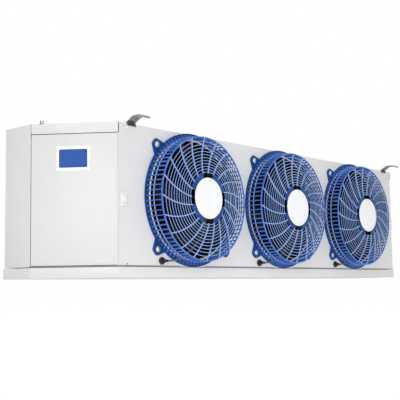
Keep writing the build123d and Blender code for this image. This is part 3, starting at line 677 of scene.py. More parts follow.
# %% Words for Geometry Nodes
class Maker(Graph):
    """A graph that also has words for Geometry Nodes."""

    def join(self, parts):
        node = self.add("GeometryNodeJoinGeometry")
        for part in parts:
            self.tree.links.new(part, node.inputs["Geometry"])
        return node.outputs["Geometry"]

    def skin(self, curve, profile):
        """A tube of a given section along a curve, closed at its ends."""
        return self.add("GeometryNodeCurveToMesh", {"Curve": curve, "Profile Curve": profile,
                                                    "Fill Caps": True}).outputs["Mesh"]

    def section(self, width, height, corner=0.0008):
        """A rectangle with rounded corners."""
        flat = self.add("GeometryNodeCurvePrimitiveQuadrilateral", {"Width": width, "Height": height})
        values = {"Curve": flat.outputs[0], "Radius": corner, "Limit Radius": True, "Count": 2}
        return self.add("GeometryNodeFilletCurve", values, mode="POLY").outputs[0]

    def moved(self, geometry, x, y, z):
        return self.add("GeometryNodeTransform", {"Geometry": geometry,
                                                  "Translation": self.vector(x, y, z)}).outputs[0]

    def block(self, x, y, z):
        return self.add("GeometryNodeMeshCube", {"Size": self.vector(x, y, z)}).outputs[0]

    def upright(self, curve):
        """The same curve, with its sections kept standing on the level."""
        return self.add("GeometryNodeSetCurveNormal", {"Curve": curve}, mode="Z_UP").outputs[0]

    def number(self):
        return self.add("GeometryNodeInputIndex").outputs[0]

    def real_copies(self, points, geometry, **values):
        """Copies of a geometry on points, made real."""
        copies = self.add("GeometryNodeInstanceOnPoints", {"Points": points, "Instance": geometry}
                          | {label.capitalize(): value for label, value in values.items()})
        return self.add("GeometryNodeRealizeInstances", {"Geometry": copies.outputs[0]}).outputs[0]

    def round_copies(self, geometry, count):
        """Copies of a geometry turned evenly round the z axis."""
        points = self.add("GeometryNodePoints", {"Count": count}).outputs[0]
        angle = self.math("MULTIPLY", self.number(), self.math("DIVIDE", 2 * math.pi, count))
        return self.real_copies(points, geometry, rotation=self.vector(0.0, 0.0, angle))

    def painted(self, geometry, material):
        return self.add("GeometryNodeSetMaterial", {"Geometry": geometry, "Material": material}).outputs[0]


# %% Running a tree once
def run_tree(name, tree, ids, values, start=None):
    """The tree's result as a plain mesh; its modifier lives only on a helper object."""
    helper = bpy.data.objects.new(name + "_helper", start or bpy.data.meshes.new(name + "_start"))
    scene.collection.objects.link(helper)
    modifier = helper.modifiers.new("nodes", "NODES")
    modifier.node_group = tree
    for label, value in values.items():
        modifier[ids[label]] = value
    graph = bpy.context.evaluated_depsgraph_get()
    mesh = bpy.data.meshes.new_from_object(helper.evaluated_get(graph), depsgraph=graph)
    mesh.name = name
    bpy.data.objects.remove(helper)
    # The finishes come back in the order in which they were given.
    finishes = [value for value in values.values() if isinstance(value, bpy.types.Material)]
    names = [item.name if item else "" for item in mesh.materials]
    order = [next((i for i, item in enumerate(finishes) if item.name == name), 0) for name in names] or [0]
    indices = [order[min(face.material_index, len(order) - 1)] for face in mesh.polygons]
    mesh.materials.clear()
    for item in finishes:
        mesh.materials.append(item)
    mesh.polygons.foreach_set("material_index", indices)
    return mesh


# %% The guard's sizes, and its level rings
GUARD_SIZES = [
    ("Flange Radius", 0.308), ("Flange Width", 0.024), ("Flange Thickness", 0.004),
    ("Foot Radius", 0.2895), ("Rim Radius", 0.2825), ("Wall Depth", 0.086), ("Mid Share", 0.43),
    ("Bars", 80), ("Bar Width", 0.0080), ("Bar Thickness", 0.0042),
    ("Rings", 11), ("Ring Crowding", 0.87), ("Ring Thickness", 0.0030), ("Ring Height", 0.0056),
    ("Ribs", 20), ("Rib Turn", math.radians(18)), ("Rib Thickness", 0.0045), ("Rib Height", 0.0058),
    ("Hub Radius", 0.120), ("Dome", 0.017), ("Fine", 120),
]
GUARD_FINISHES = {"Body Finish": BLUE_PLASTIC, "Rib Finish": BLUE_BRIGHT_HIGHLIGHT, "Bar Finish": BLUE_SOFT_HIGHLIGHT,
                  "Ring Finish": BLUE_SHADE}
guard_inputs = GUARD_SIZES + [(label, None) for label in GUARD_FINISHES]
guard_tree, guard_ids = geometry_tree("swirl_guard", guard_inputs)
g = Maker(guard_tree)
size = g.given


def half(value):
    return g.math("MULTIPLY", value, 0.5)


def minus(a, b):
    return g.math("SUBTRACT", a, b)


def ring_curve(radius, height):
    """A level circle at a height, as fine as the tree is asked for."""
    circle = g.add("GeometryNodeCurvePrimitiveCircle", {"Resolution": size["Fine"], "Radius": radius})
    return g.upright(g.moved(circle.outputs[0], 0.0, 0.0, height))


def level_ring(inset_from, inset, height, *section):
    """A ring that lies a little inside a given radius."""
    return g.skin(ring_curve(minus(inset_from, inset), height), g.section(*section))


flange = level_ring(size["Flange Radius"], half(size["Flange Width"]), half(size["Flange Thickness"]),
                    size["Flange Width"], size["Flange Thickness"], 0.0012)
lip = level_ring(size["Flange Radius"], 0.0016, 0.0040, 0.0032, 0.0050, 0.0012)
mid_height = g.math("MULTIPLY", size["Wall Depth"], size["Mid Share"])
mid = level_ring(size["Foot Radius"], 0.0032, mid_height, 0.0040, 0.0040)
rim_height = minus(size["Wall Depth"], 0.0036)
rim = g.skin(ring_curve(size["Rim Radius"], rim_height), g.section(0.0056, 0.0068, 0.0016))
print("guard tree", len(guard_ids), "inputs,", len(guard_tree.nodes), "nodes so far")

# %% Drum bars: one leaning bar and the gusset at its foot, copied round
bar_line = g.add("GeometryNodeCurvePrimitiveLine", {
    "Start": g.vector(size["Foot Radius"], 0.0, 0.002),
    "End": g.vector(minus(size["Rim Radius"], 0.0006), 0.0, rim_height),
})
bar = g.skin(bar_line.outputs[0], g.section(size["Bar Thickness"], size["Bar Width"], 0.0010))
bars = g.round_copies(bar, size["Bars"])
gusset = g.moved(g.block(0.0120, 0.0050, 0.0034), g.math("ADD", size["Foot Radius"], 0.0050), 0.0, 0.0056)
gussets = g.round_copies(gusset, size["Bars"])
print("with bars and gussets", len(guard_tree.nodes), "nodes")


# %% Face rings: unit circles scaled by their number, a little closer together towards the hub
def dome_height(radius):
    """Height of the domed face at a radius: the wall's depth plus its share of the dome."""
    share = g.math("DIVIDE", minus(size["Rim Radius"], radius), minus(size["Rim Radius"], size["Hub Radius"]))
    return g.math("ADD", size["Wall Depth"], g.math("MULTIPLY", size["Dome"], share))


ring_share = g.math("DIVIDE", g.math("ADD", g.number(), 1.0), size["Rings"])
crowded = g.math("POWER", ring_share, size["Ring Crowding"])
face_width = minus(size["Rim Radius"], size["Hub Radius"])
ring_radius = minus(size["Rim Radius"], g.math("MULTIPLY", crowded, face_width))
ring_top = minus(dome_height(ring_radius), 0.0044)
ring_points = g.add("GeometryNodePoints", {"Count": size["Rings"], "Position": g.vector(0.0, 0.0, ring_top)})
unit = g.add("GeometryNodeCurvePrimitiveCircle", {"Resolution": size["Fine"], "Radius": 1.0})
ring_lines = g.upright(g.real_copies(ring_points.outputs[0], unit.outputs[0],
                                     scale=g.vector(ring_radius, ring_radius, 1.0)))
# Painted shade: each ring's body takes the dark navy shade finish.
rings = g.skin(ring_lines, g.section(size["Ring Thickness"], size["Ring Height"], 0.0010))
# Painted highlight: a thin strip on each ring's top takes the light highlight blue.
highlight_lines = g.moved(ring_lines, 0.0, 0.0, half(size["Ring Height"]))
ring_highlights = g.skin(highlight_lines, g.section(0.0026, 0.0012, 0.0005))
print("with face rings", len(guard_tree.nodes), "nodes")

# %% Ribs: a line from rim to hub, bent into its swirl by its own length, then copied round
rib_line = g.add("GeometryNodeCurvePrimitiveLine", {
    "Start": g.vector(0.0, 0.0, 0.0),
    "End": g.vector(1.0, 0.0, 0.0),
})
rib_fine = g.add("GeometryNodeResampleCurve", {"Curve": rib_line.outputs[0], "Count": 22})
share = g.add("GeometryNodeSplineParameter").outputs["Factor"]
rib_inner = minus(size["Hub Radius"], 0.006)
rib_outer = g.math("ADD", size["Rim Radius"], 0.001)
rib_radius = minus(rib_outer, g.math("MULTIPLY", share, minus(rib_outer, rib_inner)))
rib_angle = g.math("MULTIPLY", share, size["Rib Turn"])
rib_place = g.vector(
    g.math("MULTIPLY", rib_radius, g.math("COSINE", rib_angle)),
    g.math("MULTIPLY", rib_radius, g.math("SINE", rib_angle)),
    minus(dome_height(rib_radius), minus(half(size["Rib Height"]), 0.0006)),
)
rib_bent = g.add("GeometryNodeSetPosition", {"Geometry": rib_fine.outputs[0], "Position": rib_place})
rib = g.skin(g.upright(rib_bent.outputs[0]), g.section(size["Rib Thickness"], size["Rib Height"], 0.0011))
ribs = g.round_copies(rib, size["Ribs"])
print("with ribs", len(guard_tree.nodes), "nodes")

# %% Paint the parts and run the tree
painted_parts = [
    g.painted(g.join([flange, lip]), g.given["Body Finish"]),
    # Painted highlight: ribs, mid ring and ring tops in the light blue.
    g.painted(g.join([ribs, mid, ring_highlights]), g.given["Rib Finish"]),
    # Softer painted highlight: rim, bars and gussets in a lighter blue than the body.
    g.painted(g.join([rim, bars, gussets]), g.given["Bar Finish"]),
    # Painted shade: the rings' bodies in dark navy.
    g.painted(rings, g.given["Ring Finish"]),
]
g.feed(g.result["Geometry"], g.join(painted_parts))
guard_web = run_tree("guard_web", guard_tree, guard_ids, dict(GUARD_SIZES) | GUARD_FINISHES)
print("guard web", len(guard_web.polygons), "faces, out to",
      round(max(math.hypot(v.co.x, v.co.y) for v in guard_web.vertices), 4), "deep",
      round(max(v.co.z for v in guard_web.vertices), 4))


# %% [markdown]
# ## Ears and hub of a guard
#
# The four ears and the hub don't follow the swirl. An ear is a tapered plate with a round boss
# under its screw; the hub is a web of four arcs with a notch between each pair, and the lowest
# notch lets the motor's cable through. They are drawn as outlines and given their thickness.

# %% Plates from an outline
def plate_into(bm, outline, low, high, matrix=Matrix.Identity(4), bevel=0.0, material=0):
    """A flat plate with the given outline, between two heights, with a softened top edge."""
    foot = [bm.verts.new(Vector((x, y, low))) for x, y in outline]
    face = bm.faces.new(foot)
    face.material_index = material
    grown = bmesh.ops.extrude_face_region(bm, geom=[face])["geom"]
    top = [v for v in grown if isinstance(v, bmesh.types.BMVert)]
    for v in top:
        v.co.z = high
    made = set(foot) | set(top)
    if bevel:
        edges = [e for e in bm.edges if e.verts[0] in set(top) and e.verts[1] in set(top)]
        out = bmesh.ops.bevel(bm, geom=edges, offset=bevel, segments=2, profile=0.5, affect="EDGES")
        made = {v for v in made if v.is_valid} | {v for f in out["faces"] for v in f.verts}
    for v in made:
        for f in v.link_faces:
            f.material_index = material
        v.co = matrix @ v.co


def rounded(points, radius, steps=5):
    """An outline with each corner rounded."""
    out = []
    for i, p in enumerate(points):
        a, b, c = Vector(points[i - 1]), Vector(p), Vector(points[(i + 1) % len(points)])
        to_a, to_c = (a - b).normalized(), (c - b).normalized()
        reach = min(radius, (a - b).length * 0.45, (c - b).length * 0.45)
        for s in range(steps + 1):
            t = s / steps
            out.append((b + to_a * reach * (1 - t) ** 2 + to_c * reach * t**2)[:2])
    return out


def arc_sector(inner, outer, start, stop, steps):
    """The outline of a piece of a ring, in degrees."""
    turn = [math.radians(start + (stop - start) * s / steps) for s in range(steps + 1)]
    return [(outer * math.cos(a), outer * math.sin(a)) for a in turn] + [
        (inner * math.cos(a), inner * math.sin(a)) for a in reversed(turn)]


# %% Ears, hub web and the whole guard
LUG_R, LUG_TIP = 0.328, 0.354
HUB_TOP = 0.103


def guard_mesh():
    """The tree's web with the four ears, the hub's arcs and its turned middle."""
    bm = bmesh.new()
    bm.from_mesh(guard_web)
    # Material 0 of the web is the body's blue and 1 the ribs' blue, a painted highlight.
    for k in range(4):
        turn = Matrix.Rotation(math.radians(45 + 90 * k), 4, "Z")
        edge = [(0.297, 0.046), (0.316, 0.036), (LUG_TIP - 0.006, 0.021), (LUG_TIP, 0.012)]
        ear = [(x, -y) for x, y in edge] + edge[::-1]
        plate_into(bm, rounded(ear, 0.009), 0.0004, 0.0046, turn, 0.0009)
        boss = [(0.0, 0.0046), (0.0148, 0.0046), (0.0158, 0.0052), (0.0150, 0.0062), (0.0, 0.0062)]
        lathe(bm, boss, 24, turn @ Matrix.Translation((LUG_R, 0, 0)), closed=False)
        for side in (-1, 1):
            lean = turn @ Matrix.Translation((0.303, side * 0.030, 0)) @ Matrix.Rotation(-side * 0.42, 4, "Z")
            box_into(bm, (0, -0.0012, 0.0042), (0.040, 0.0012, 0.0068), lean, 0.0005)
    for k in range(4):
        outline = arc_sector(0.088, 0.1215, 45 + 90 * k - 27, 45 + 90 * k + 27, 12)
        plate_into(bm, outline, HUB_TOP - 0.0046, HUB_TOP - 0.0008, Matrix.Identity(4), 0.0006)
    foot, shoulder, centre = HUB_TOP - 0.0046, HUB_TOP - 0.0006, HUB_TOP - 0.0012
    lathe(bm, [(0.060, foot), (0.0945, foot), (0.0945, shoulder), (0.060, shoulder)], 72)
    lathe(bm, [(0.0, foot), (0.0605, foot), (0.0605, centre), (0.0, centre)], 72, closed=False)
    mesh = mesh_as_drawn(bm, "guard")
    for item in guard_web.materials:
        mesh.materials.append(item)
    return mesh


guard_pattern = guard_mesh()
for k in FANS:
    on_fan(k, "swirl_guard", guard_pattern.copy(), "cabinet", BLUE_PLASTIC, 40, "fan_guard")
print("guards", len(guard_pattern.polygons), "faces each, finishes",
      [m.name if m else None for m in guard_pattern.materials])


# %% [markdown]
# ## Hub disks
#
# A plain white cover snaps over each hub. It is turned like a shallow dish: a rolled edge, a fine
# groove inside it, and a face that is very slightly crowned, so that light slides across it.

# %% Turn the disks
def disk_mesh():
    """A shallow dish: its profile is given as (radius, height over the hub)."""
    bm = bmesh.new()
    profile = [
        (0.0, -0.0004), (0.0920, -0.0004), (0.0938, 0.0006), (0.0940, 0.0016), (0.0930, 0.0025),
        (0.0905, 0.0029), (0.0868, 0.0027), (0.0858, 0.0020), (0.0848, 0.0026), (0.0700, 0.0028),
        (0.0450, 0.00295), (0.0, 0.0030),
    ]
    lathe(bm, [(r, HUB_TOP + h) for r, h in profile], 96, closed=False)
    return mesh_of(bm, "disk")


for k in FANS:
    disk = on_fan(k, "hub_cover", disk_mesh(), "cabinet", DISK_WHITE, 50, "hub_disk")
print("hub disks", len(FANS), "of", len(disk.data.polygons), "faces")


# %% [markdown]
# ## Motors
#
# Each motor hangs behind its guard's hub. Its cast shell has cooling ribs all round, and the
# cable enters through a gland at its foot. The ribs are one thin fin copied round the shell.

# %% Cast shell, ribs and gland
MOTOR_RIBS = {"Count": 28, "Radius": 0.0615, "Length": 0.040, "Middle": 0.068}
motor_tree, motor_ids = geometry_tree("motor_ribs", [*MOTOR_RIBS.items(), ("Finish", None)])
g = Maker(motor_tree)
fin = g.moved(g.block(0.0105, 0.0022, g.given["Length"]), g.given["Radius"], 0.0, g.given["Middle"])
motor_ribs = g.round_copies(fin, g.given["Count"])
g.feed(g.result["Geometry"], g.painted(motor_ribs, g.given["Finish"]))
rib_mesh = run_tree("motor_ribs_mesh", motor_tree, motor_ids, MOTOR_RIBS | {"Finish": MOTOR_BLACK})


def motor_mesh():
    """The ribs with their turned shell and axle, and the gland where the cable enters."""
    bm = bmesh.new()
    bm.from_mesh(rib_mesh)
    shell = [
        (0.0, 0.0985), (0.0520, 0.0985), (0.0600, 0.0975), (0.0630, 0.0950), (0.0630, 0.0905),
        (0.0590, 0.0890), (0.0580, 0.0480), (0.0620, 0.0465), (0.0620, 0.0430), (0.0580, 0.0405),
        (0.0300, 0.0395), (0.0180, 0.0385), (0.0160, 0.0300), (0.0060, 0.0295), (0.0060, -0.0255),
        (0.0048, -0.0262), (0.0, -0.0262),
    ]
    lathe(bm, shell, 56, closed=False)
    box_into(bm, (-0.0090, -0.0755, 0.0720), (0.0090, -0.0560, 0.0900), Matrix.Identity(4), 0.0016)
    collar = [(0.0, 0.0), (0.0062, 0.0), (0.0068, 0.0008), (0.0062, 0.0050), (0.0, 0.0056)]
    place = Matrix.Translation((0, -0.0752, 0.0810)) @ Matrix.Rotation(math.radians(90), 4, "X")
    lathe(bm, collar, 20, place, closed=False)
    return mesh_as_drawn(bm, "motor")


for k in FANS:
    motor = on_fan(k, "fan_motor_shell", motor_mesh(), "cabinet", MOTOR_BLACK, 35, "fan_motor")
print("motors", len(FANS), "with", MOTOR_RIBS["Count"], "ribs,", len(motor.data.polygons), "faces each")


# %% [markdown]
# ## Fans
#
# A fan is a hub with five wide blades that lean and hollow like shallow spoons. A flat plate would
# look cut from sheet, so each blade is a grid of points: its chord widens to the tip, its pitch
# falls off outwards, and a little camber bends it. Both skins are joined round a thin edge.

# %% One blade as a surface
BLADES, BLADE_ROOT, BLADE_TIP = 5, 0.066, 0.2495


def blade_point(u, v, face):
    """A point of a blade: u from root to tip, v from trailing to leading edge, face -1 or 1."""
    r = BLADE_ROOT + (BLADE_TIP - BLADE_ROOT) * u
    chord = 0.070 + 0.058 * math.sin(min(1.0, u * 1.1) * math.pi / 2)
    pitch = math.radians(42 - 14 * u)
    across = (v - 0.5 - 0.10 * u) * chord
    camber = 0.010 * (1 - (2 * v - 1) ** 2) * (1 - 0.3 * u)
    thick = face * 0.0014 * (1 - abs(2 * v - 1) ** 3 * 0.8)
    y = across * math.cos(pitch) - (camber + thick) * math.sin(pitch)
    z = across * math.sin(pitch) + (camber + thick) * math.cos(pitch)
    sweep = 0.16 * u * u
    angle = math.atan2(y, r) + sweep
    return Vector((r * math.cos(angle), r * math.sin(angle), z + 0.001))


# %% Five blades round a hub
def fan_mesh(rows=14, columns=10):
    """Five blades as closed skins, and the turned hub that carries them."""
    bm = bmesh.new()
    for k in range(BLADES):
        turn = Matrix.Rotation(2 * math.pi * k / BLADES, 4, "Z")
        skins = []
        for face in (-1, 1):
            skins.append([[bm.verts.new(turn @ blade_point(i / rows, j / columns, face))
                           for j in range(columns + 1)] for i in range(rows + 1)])
        for grid in skins:
            for i in range(rows):
                for j in range(columns):
                    bm.faces.new((grid[i][j], grid[i + 1][j], grid[i + 1][j + 1], grid[i][j + 1]))
        back, front = skins
        edge = [(i, 0) for i in range(rows + 1)] + [(rows, j) for j in range(1, columns + 1)]
        edge += [(i, columns) for i in range(rows - 1, -1, -1)] + [(0, j) for j in range(columns - 1, 0, -1)]
        for (i, j), (m, n) in zip(edge, edge[1:] + edge[:1]):
            bm.faces.new((back[i][j], back[m][n], front[m][n], front[i][j]))
    hub = [
        (0.0075, -0.0250), (0.0640, -0.0250), (0.0720, -0.0225), (0.0738, -0.0180), (0.0738, 0.0290),
        (0.0725, 0.0330), (0.0690, 0.0348), (0.0300, 0.0340), (0.0260, 0.0300), (0.0130, 0.0295),
        (0.0075, 0.0290),
    ]
    lathe(bm, hub, 60)
    bmesh.ops.recalc_face_normals(bm, faces=bm.faces)
    return mesh_as_drawn(bm, "fan")


fan_pattern = fan_mesh()
for k in FANS:
    mesh = fan_pattern.copy()
    mesh.transform(Matrix.Rotation(math.radians(24 * k), 4, "Z"))
    on_fan(k, "fan_wheel", mesh, f"fan_{k}", FAN_BLACK, 40, "fan_blades")
print("fan tip radius", round(max(math.hypot(v.co.x, v.co.y) for v in fan_pattern.vertices), 4))


# %% [markdown]
# ## Screws
#
# Every ear is held by a washer-headed screw, and the casing by smaller ones. All are the same head
# at a different size: a washer, a dome and a cross recess. One tree puts the head on each point
# it is given and turns it to its face, so adding a screw is adding a point.

# %% One screw head as a pattern
def screw_head_mesh():
    """A unit screw head: radius 1, standing on z = 0."""
    bm = bmesh.new()
    head = [(0.0, 0.0), (1.0, 0.0), (1.0, 0.10), (0.94, 0.14), (0.66, 0.16), (0.60, 0.22), (0.55, 0.34),
            (0.42, 0.44), (0.20, 0.49), (0.0, 0.50)]
    lathe(bm, head, 24, closed=False)
    return mesh_of(bm, "screw_head")


def recess_mesh():
    """The dark cross in a unit screw head."""
    bm = bmesh.new()
    for turn in (0, 90):
        matrix = Matrix.Rotation(math.radians(turn), 4, "Z")
        box_into(bm, (-0.26, -0.06, 0.44), (0.26, 0.06, 0.512), matrix)
    return mesh_of(bm, "screw_recess")


# %% Points for the ear screws
def spots(radius, *places):
    """Places for screws of one radius."""
    return [(Vector(place), radius) for place in places]


SCREWS_ON_EARS = []
for k in FANS:
    for a in (math.radians(45 + 90 * q) for q in range(4)):
        boss_top = Vector((LUG_R * math.cos(a), LUG_R * math.sin(a), 0.0062))
        SCREWS_ON_EARS += spots(0.0130, fan_matrix(k) @ boss_top)


# %% A tree that puts a head on each point
def screws_tree():
    """Copies of a head on points that carry a radius, all facing one way."""
    tree, ids = geometry_tree("screw_set", [("Turn X", 0.0), ("Turn Z", 0.0), ("Finish", None)])
    socket = tree.interface.new_socket("Head", in_out="INPUT", socket_type="NodeSocketObject")
    ids["Head"] = socket.identifier
    graph = Maker(tree)
    head = graph.add("GeometryNodeObjectInfo", {"Object": graph.given["Head"]}, transform_space="ORIGINAL")
    radius = graph.add("GeometryNodeInputNamedAttribute", {"Name": "head_radius"}, data_type="FLOAT")
    heads = graph.real_copies(graph.given["Geometry"], head.outputs["Geometry"],
                              rotation=graph.vector(graph.given["Turn X"], 0.0, graph.given["Turn Z"]),
                              scale=graph.vector(*[radius.outputs["Attribute"]] * 3))
    graph.feed(graph.result["Geometry"], graph.painted(heads, graph.given["Finish"]))
    return tree, ids


SCREW_TREE, SCREW_IDS = screws_tree()
PATTERNS = {}
for label, maker in (("head", screw_head_mesh), ("recess", recess_mesh)):
    PATTERNS[label] = bpy.data.objects.new("pattern_" + label, maker())
    scene.collection.objects.link(PATTERNS[label])


# %% A set of screws as one piece
def screw_set(name, places, turn_x, turn_z, body, finish=ZINC, recess=True):
    """Screws at places [(point, radius)] facing along the turned z axis, as one piece."""
    bm = bmesh.new()
    for label, material in (("head", finish), ("recess", PLUG_BLACK)):
        if label == "recess" and not recess:
            continue
        points = bpy.data.meshes.new("points")
        points.from_pydata([tuple(p) for p, _ in places], [], [])
        radii = points.attributes.new("head_radius", "FLOAT", "POINT")
        radii.data.foreach_set("value", [r for _, r in places])
        values = {"Turn X": turn_x, "Turn Z": turn_z, "Finish": material, "Head": PATTERNS[label]}
        made = run_tree(f"{name}_{label}", SCREW_TREE, SCREW_IDS, values, points)
        start = len(bm.faces)
        bm.from_mesh(made)
        bm.faces.ensure_lookup_table()
        for face in bm.faces[start:]:
            face.material_index = 0 if label == "head" else 1
    return finish_piece(name, mesh_as_drawn(bm, name), body, [finish, PLUG_BLACK], 40)


TO_FRONT, TO_REAR = math.radians(90), math.radians(-90)
ear_screws = screw_set("guard_screw_heads", SCREWS_ON_EARS, TO_FRONT, 0.0, "cabinet")
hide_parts("guard_screws")
print("ear screws", len(SCREWS_ON_EARS))

# %% Small screws of the casing
front_small = spots(0.0038, (0.050 - HALF_FRONT, FRONT_Y, ROOF_TOP - 0.044))
front_small += spots(0.0032, *[((FANS[k].x + FANS[k + 1].x) / 2, FRONT_Y, ROOF_TOP - 0.016) for k in (1, 2)])
front_small += spots(0.0038, (HALF_FRONT - 0.050, FRONT_Y, ROOF_TOP - 0.044))
screw_set("front_sheet_screws", front_small, TO_FRONT, 0.0, "cabinet")
corner_heights = (DOOR_TOP + 0.003, PANEL_LOW.z + 0.0095)
corner_small = spots(0.0030, *[(0.050 - HALF_FRONT, FRONT_Y, z) for z in corner_heights])
screw_set("corner_rivets", corner_small, TO_FRONT, 0.0, "cabinet", PLUG_BLACK, recess=False)
cover_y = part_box("rear_cover_left")[1].y
rear_small = spots(0.0042, *[(side * x, cover_y, z) for side in (-1, 1) for z in (-0.62, -0.36, -0.10)
                             for x in (1.166, 1.350)])
screw_set("rear_cover_screws", rear_small, TO_REAR, 0.0, "cabinet")
rail_small = spots(0.0036, *[(x, REAR_Y, -0.6255) for x in (-1.10, -0.66, -0.22, 0.22, 0.66, 1.10)])
screw_set("rear_rail_screws", rail_small, TO_REAR, 0.0, "cabinet")
on_roof = ((1.34, 0.10), (1.34, 0.20), (1.13, -0.222), (0.35, -0.222), (0.35, 0.222), (1.0, 0.222))
roof_small = spots(0.0040, *[(side * x, y, ROOF_TOP) for side in (-1, 1) for x, y in on_roof])
screw_set("roof_screws", roof_small, 0.0, 0.0, "cabinet")
box_low, box_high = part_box("electrical_box_lid")
lid_small = spots(0.0032, *[(box_low.x, y, z) for y in (box_low.y + 0.009, box_high.y - 0.009)
                            for z in (box_low.z + 0.009, box_high.z - 0.009)])
screw_set("wiring_box_screws", lid_small, TO_FRONT, TO_REAR, "cabinet")
small_screws = (front_small, corner_small, rear_small, rail_small, roof_small, lid_small)
print("small screws", sum(len(places) for places in small_screws))


# %% [markdown]
# ## Motor cables and their plugs
#
# A short rubber cable leads from a round plug on the front sheet, through the guard's drum, and up
# to the motor's foot. Its line is a NURBS spline over the route's own points, so it sags
# and turns like cable and not like bent wire. The plug is a turned cap with small ribs round its
# stem, and a side arm with ridges that keep the cable from kinking.

# %% Route of a cable in its fan's frame
CABLE_D = 0.007
CABLE_ROUTE = [(-0.179, -0.283, 0.014), (-0.115, -0.283, 0.014), (-0.050, -0.228, 0.046),
               (0.0, -0.150, 0.081), (0.0, -0.076, 0.081)]
PLUG_PLACE, PLUG_RIBS = (-0.205, -0.283, 0.0), 16


# %% A smooth line and its length
def spline_object(name, points, bevel):
    """A NURBS curve of one open spline through a route, with a round section."""
    curve = bpy.data.curves.new(name, "CURVE")
    curve.dimensions = "3D"
    curve.resolution_u = 16
    curve.bevel_depth = bevel
    curve.bevel_resolution = 5
    curve.use_fill_caps = True
    spline = curve.splines.new("NURBS")
    spline.points.add(len(points) - 1)
    for item, p in zip(spline.points, points):
        item.co = (*p, 1.0)
    spline.order_u = 3
    spline.use_endpoint_u = True
    obj = bpy.data.objects.new(name, curve)
    scene.collection.objects.link(obj)
    return obj


def spline_length(points):
    """The length of the smooth line, measured on the curve itself."""
    probe = spline_object("probe", points, 0.0)
    graph = bpy.context.evaluated_depsgraph_get()
    mesh = bpy.data.meshes.new_from_object(probe.evaluated_get(graph), depsgraph=graph)
    places = [v.co.copy() for v in mesh.vertices]
    bpy.data.objects.remove(probe)
    return sum((b - a).length for a, b in zip(places, places[1:]))


# %% Plug cap with its arm
def plug_mesh():
    """The cap's turned profile, the ribs of its stem away from the arm, and the ridged arm."""
    bm = bmesh.new()
    at = Matrix.Translation(PLUG_PLACE)
    cap = [
        (0.0, 0.0002), (0.0162, 0.0002), (0.0168, 0.0010), (0.0168, 0.0062), (0.0160, 0.0070),
        (0.0104, 0.0074), (0.0088, 0.0084), (0.0082, 0.0120), (0.0078, 0.0190), (0.0076, 0.0226),
        (0.0066, 0.0236), (0.0, 0.0238),
    ]
    lathe(bm, cap, 40, at, closed=False)
    for a in (2 * math.pi * s / PLUG_RIBS for s in range(PLUG_RIBS)):
        if math.cos(a) <= 0.75:
            spin = at @ Matrix.Rotation(a, 4, "Z")
            box_into(bm, (0.0074, -0.0008, 0.0084), (0.0093, 0.0008, 0.0205), spin, 0.0003)
    arm = at @ Matrix.Translation((0, 0, 0.014)) @ Matrix.Rotation(math.radians(90), 4, "Y")
    ridged = [(0.0, 0.0), (0.0060, 0.010), (0.0060, 0.0160)]
    for s in range(3):
        h = 0.0160 + 0.0030 * s
        ridged += [(0.0048, h + 0.0006), (0.0048, h + 0.0014), (0.0057, h + 0.0018), (0.0057, h + 0.0030)]
    ridged += [(0.0042, 0.0255), (0.0, 0.0258)]
    lathe(bm, ridged, 24, arm, closed=False)
    return mesh_of(bm, "plug")


# %% Cables on their fans
for k in FANS:
    plug = on_fan(k, "cable_plug_cap", plug_mesh(), "cabinet", PLUG_BLACK, 35,
                  "cable_plug")
    route = [fan_matrix(k) @ Vector(p) for p in CABLE_ROUTE]
    length = spline_length(route)
    cable = spline_object(f"motor_lead_{k}", route, CABLE_D / 2)
    cable.data.materials.append(CABLE_RUBBER)
    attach(cable, "cabinet")
    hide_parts(f"motor_cable_{k}")
    print("cable", k, "length", round(length, 4))


# %% [markdown]
# ## Finned coil
#
# Behind the fans stands the coil: hundreds of thin aluminium plates pressed on copper tubes. From
# the back it is the whole picture. One plate and a point for each of them is all a tree needs;
# the tubes run through at the rows where the return bends join them.

# %% Plates on a line of points
COIL_LOW, COIL_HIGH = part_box("coil_fin_pack")
coil_size = COIL_HIGH - COIL_LOW
FINS = {"Count": 420, "Length": coil_size.x - 0.002, "Depth": coil_size.y - 0.001,
        "Height": coil_size.z - 0.001, "Thickness": 0.0009, "Core Share": 0.8}
coil_tree, coil_ids = geometry_tree("fin_pack", [*FINS.items(), ("Finish", None), ("Core Finish", None)])
g = Maker(coil_tree)


def fin_part(share, shift, finish):
    """The part of a plate that takes a share of the depth, moved along it, with its own finish."""
    part = g.block(g.given["Thickness"], g.math("MULTIPLY", g.given["Depth"], share), g.given["Height"])
    return g.painted(g.moved(part, 0.0, g.math("MULTIPLY", g.given["Depth"], shift), 0.0), finish)


# Painted shade: the outer part of each plate is bright, and deeper in the plate is coloured dark where shade
# falls inside the coil.
bright_share = minus(1.0, g.given["Core Share"])
shade_shift = g.math("MULTIPLY", bright_share, -0.5)
plate = g.join([fin_part(g.given["Core Share"], shade_shift, g.given["Core Finish"]),
                fin_part(bright_share, half(g.given["Core Share"]), g.given["Finish"])])
pitch = g.math("DIVIDE", g.given["Length"], minus(g.given["Count"], 1.0))
along = minus(g.math("MULTIPLY", g.number(), pitch), half(g.given["Length"]))
line = g.add("GeometryNodePoints", {"Count": g.given["Count"], "Position": g.vector(along, 0.0, 0.0)})
g.feed(g.result["Geometry"], g.real_copies(line.outputs[0], plate))
fin_mesh = run_tree("fin_plates", coil_tree, coil_ids, FINS | {"Finish": FIN_METAL, "Core Finish": FIN_SHADE})
fin_mesh.transform(Matrix.Translation((COIL_LOW + COIL_HIGH) / 2))
fins = finish_piece("coil_fins", fin_mesh, "cabinet", FIN_METAL)
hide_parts("coil_fin_pack")
print("coil plates", FINS["Count"], "pitch mm", round(1000 * FINS["Length"] / (FINS["Count"] - 1), 2))


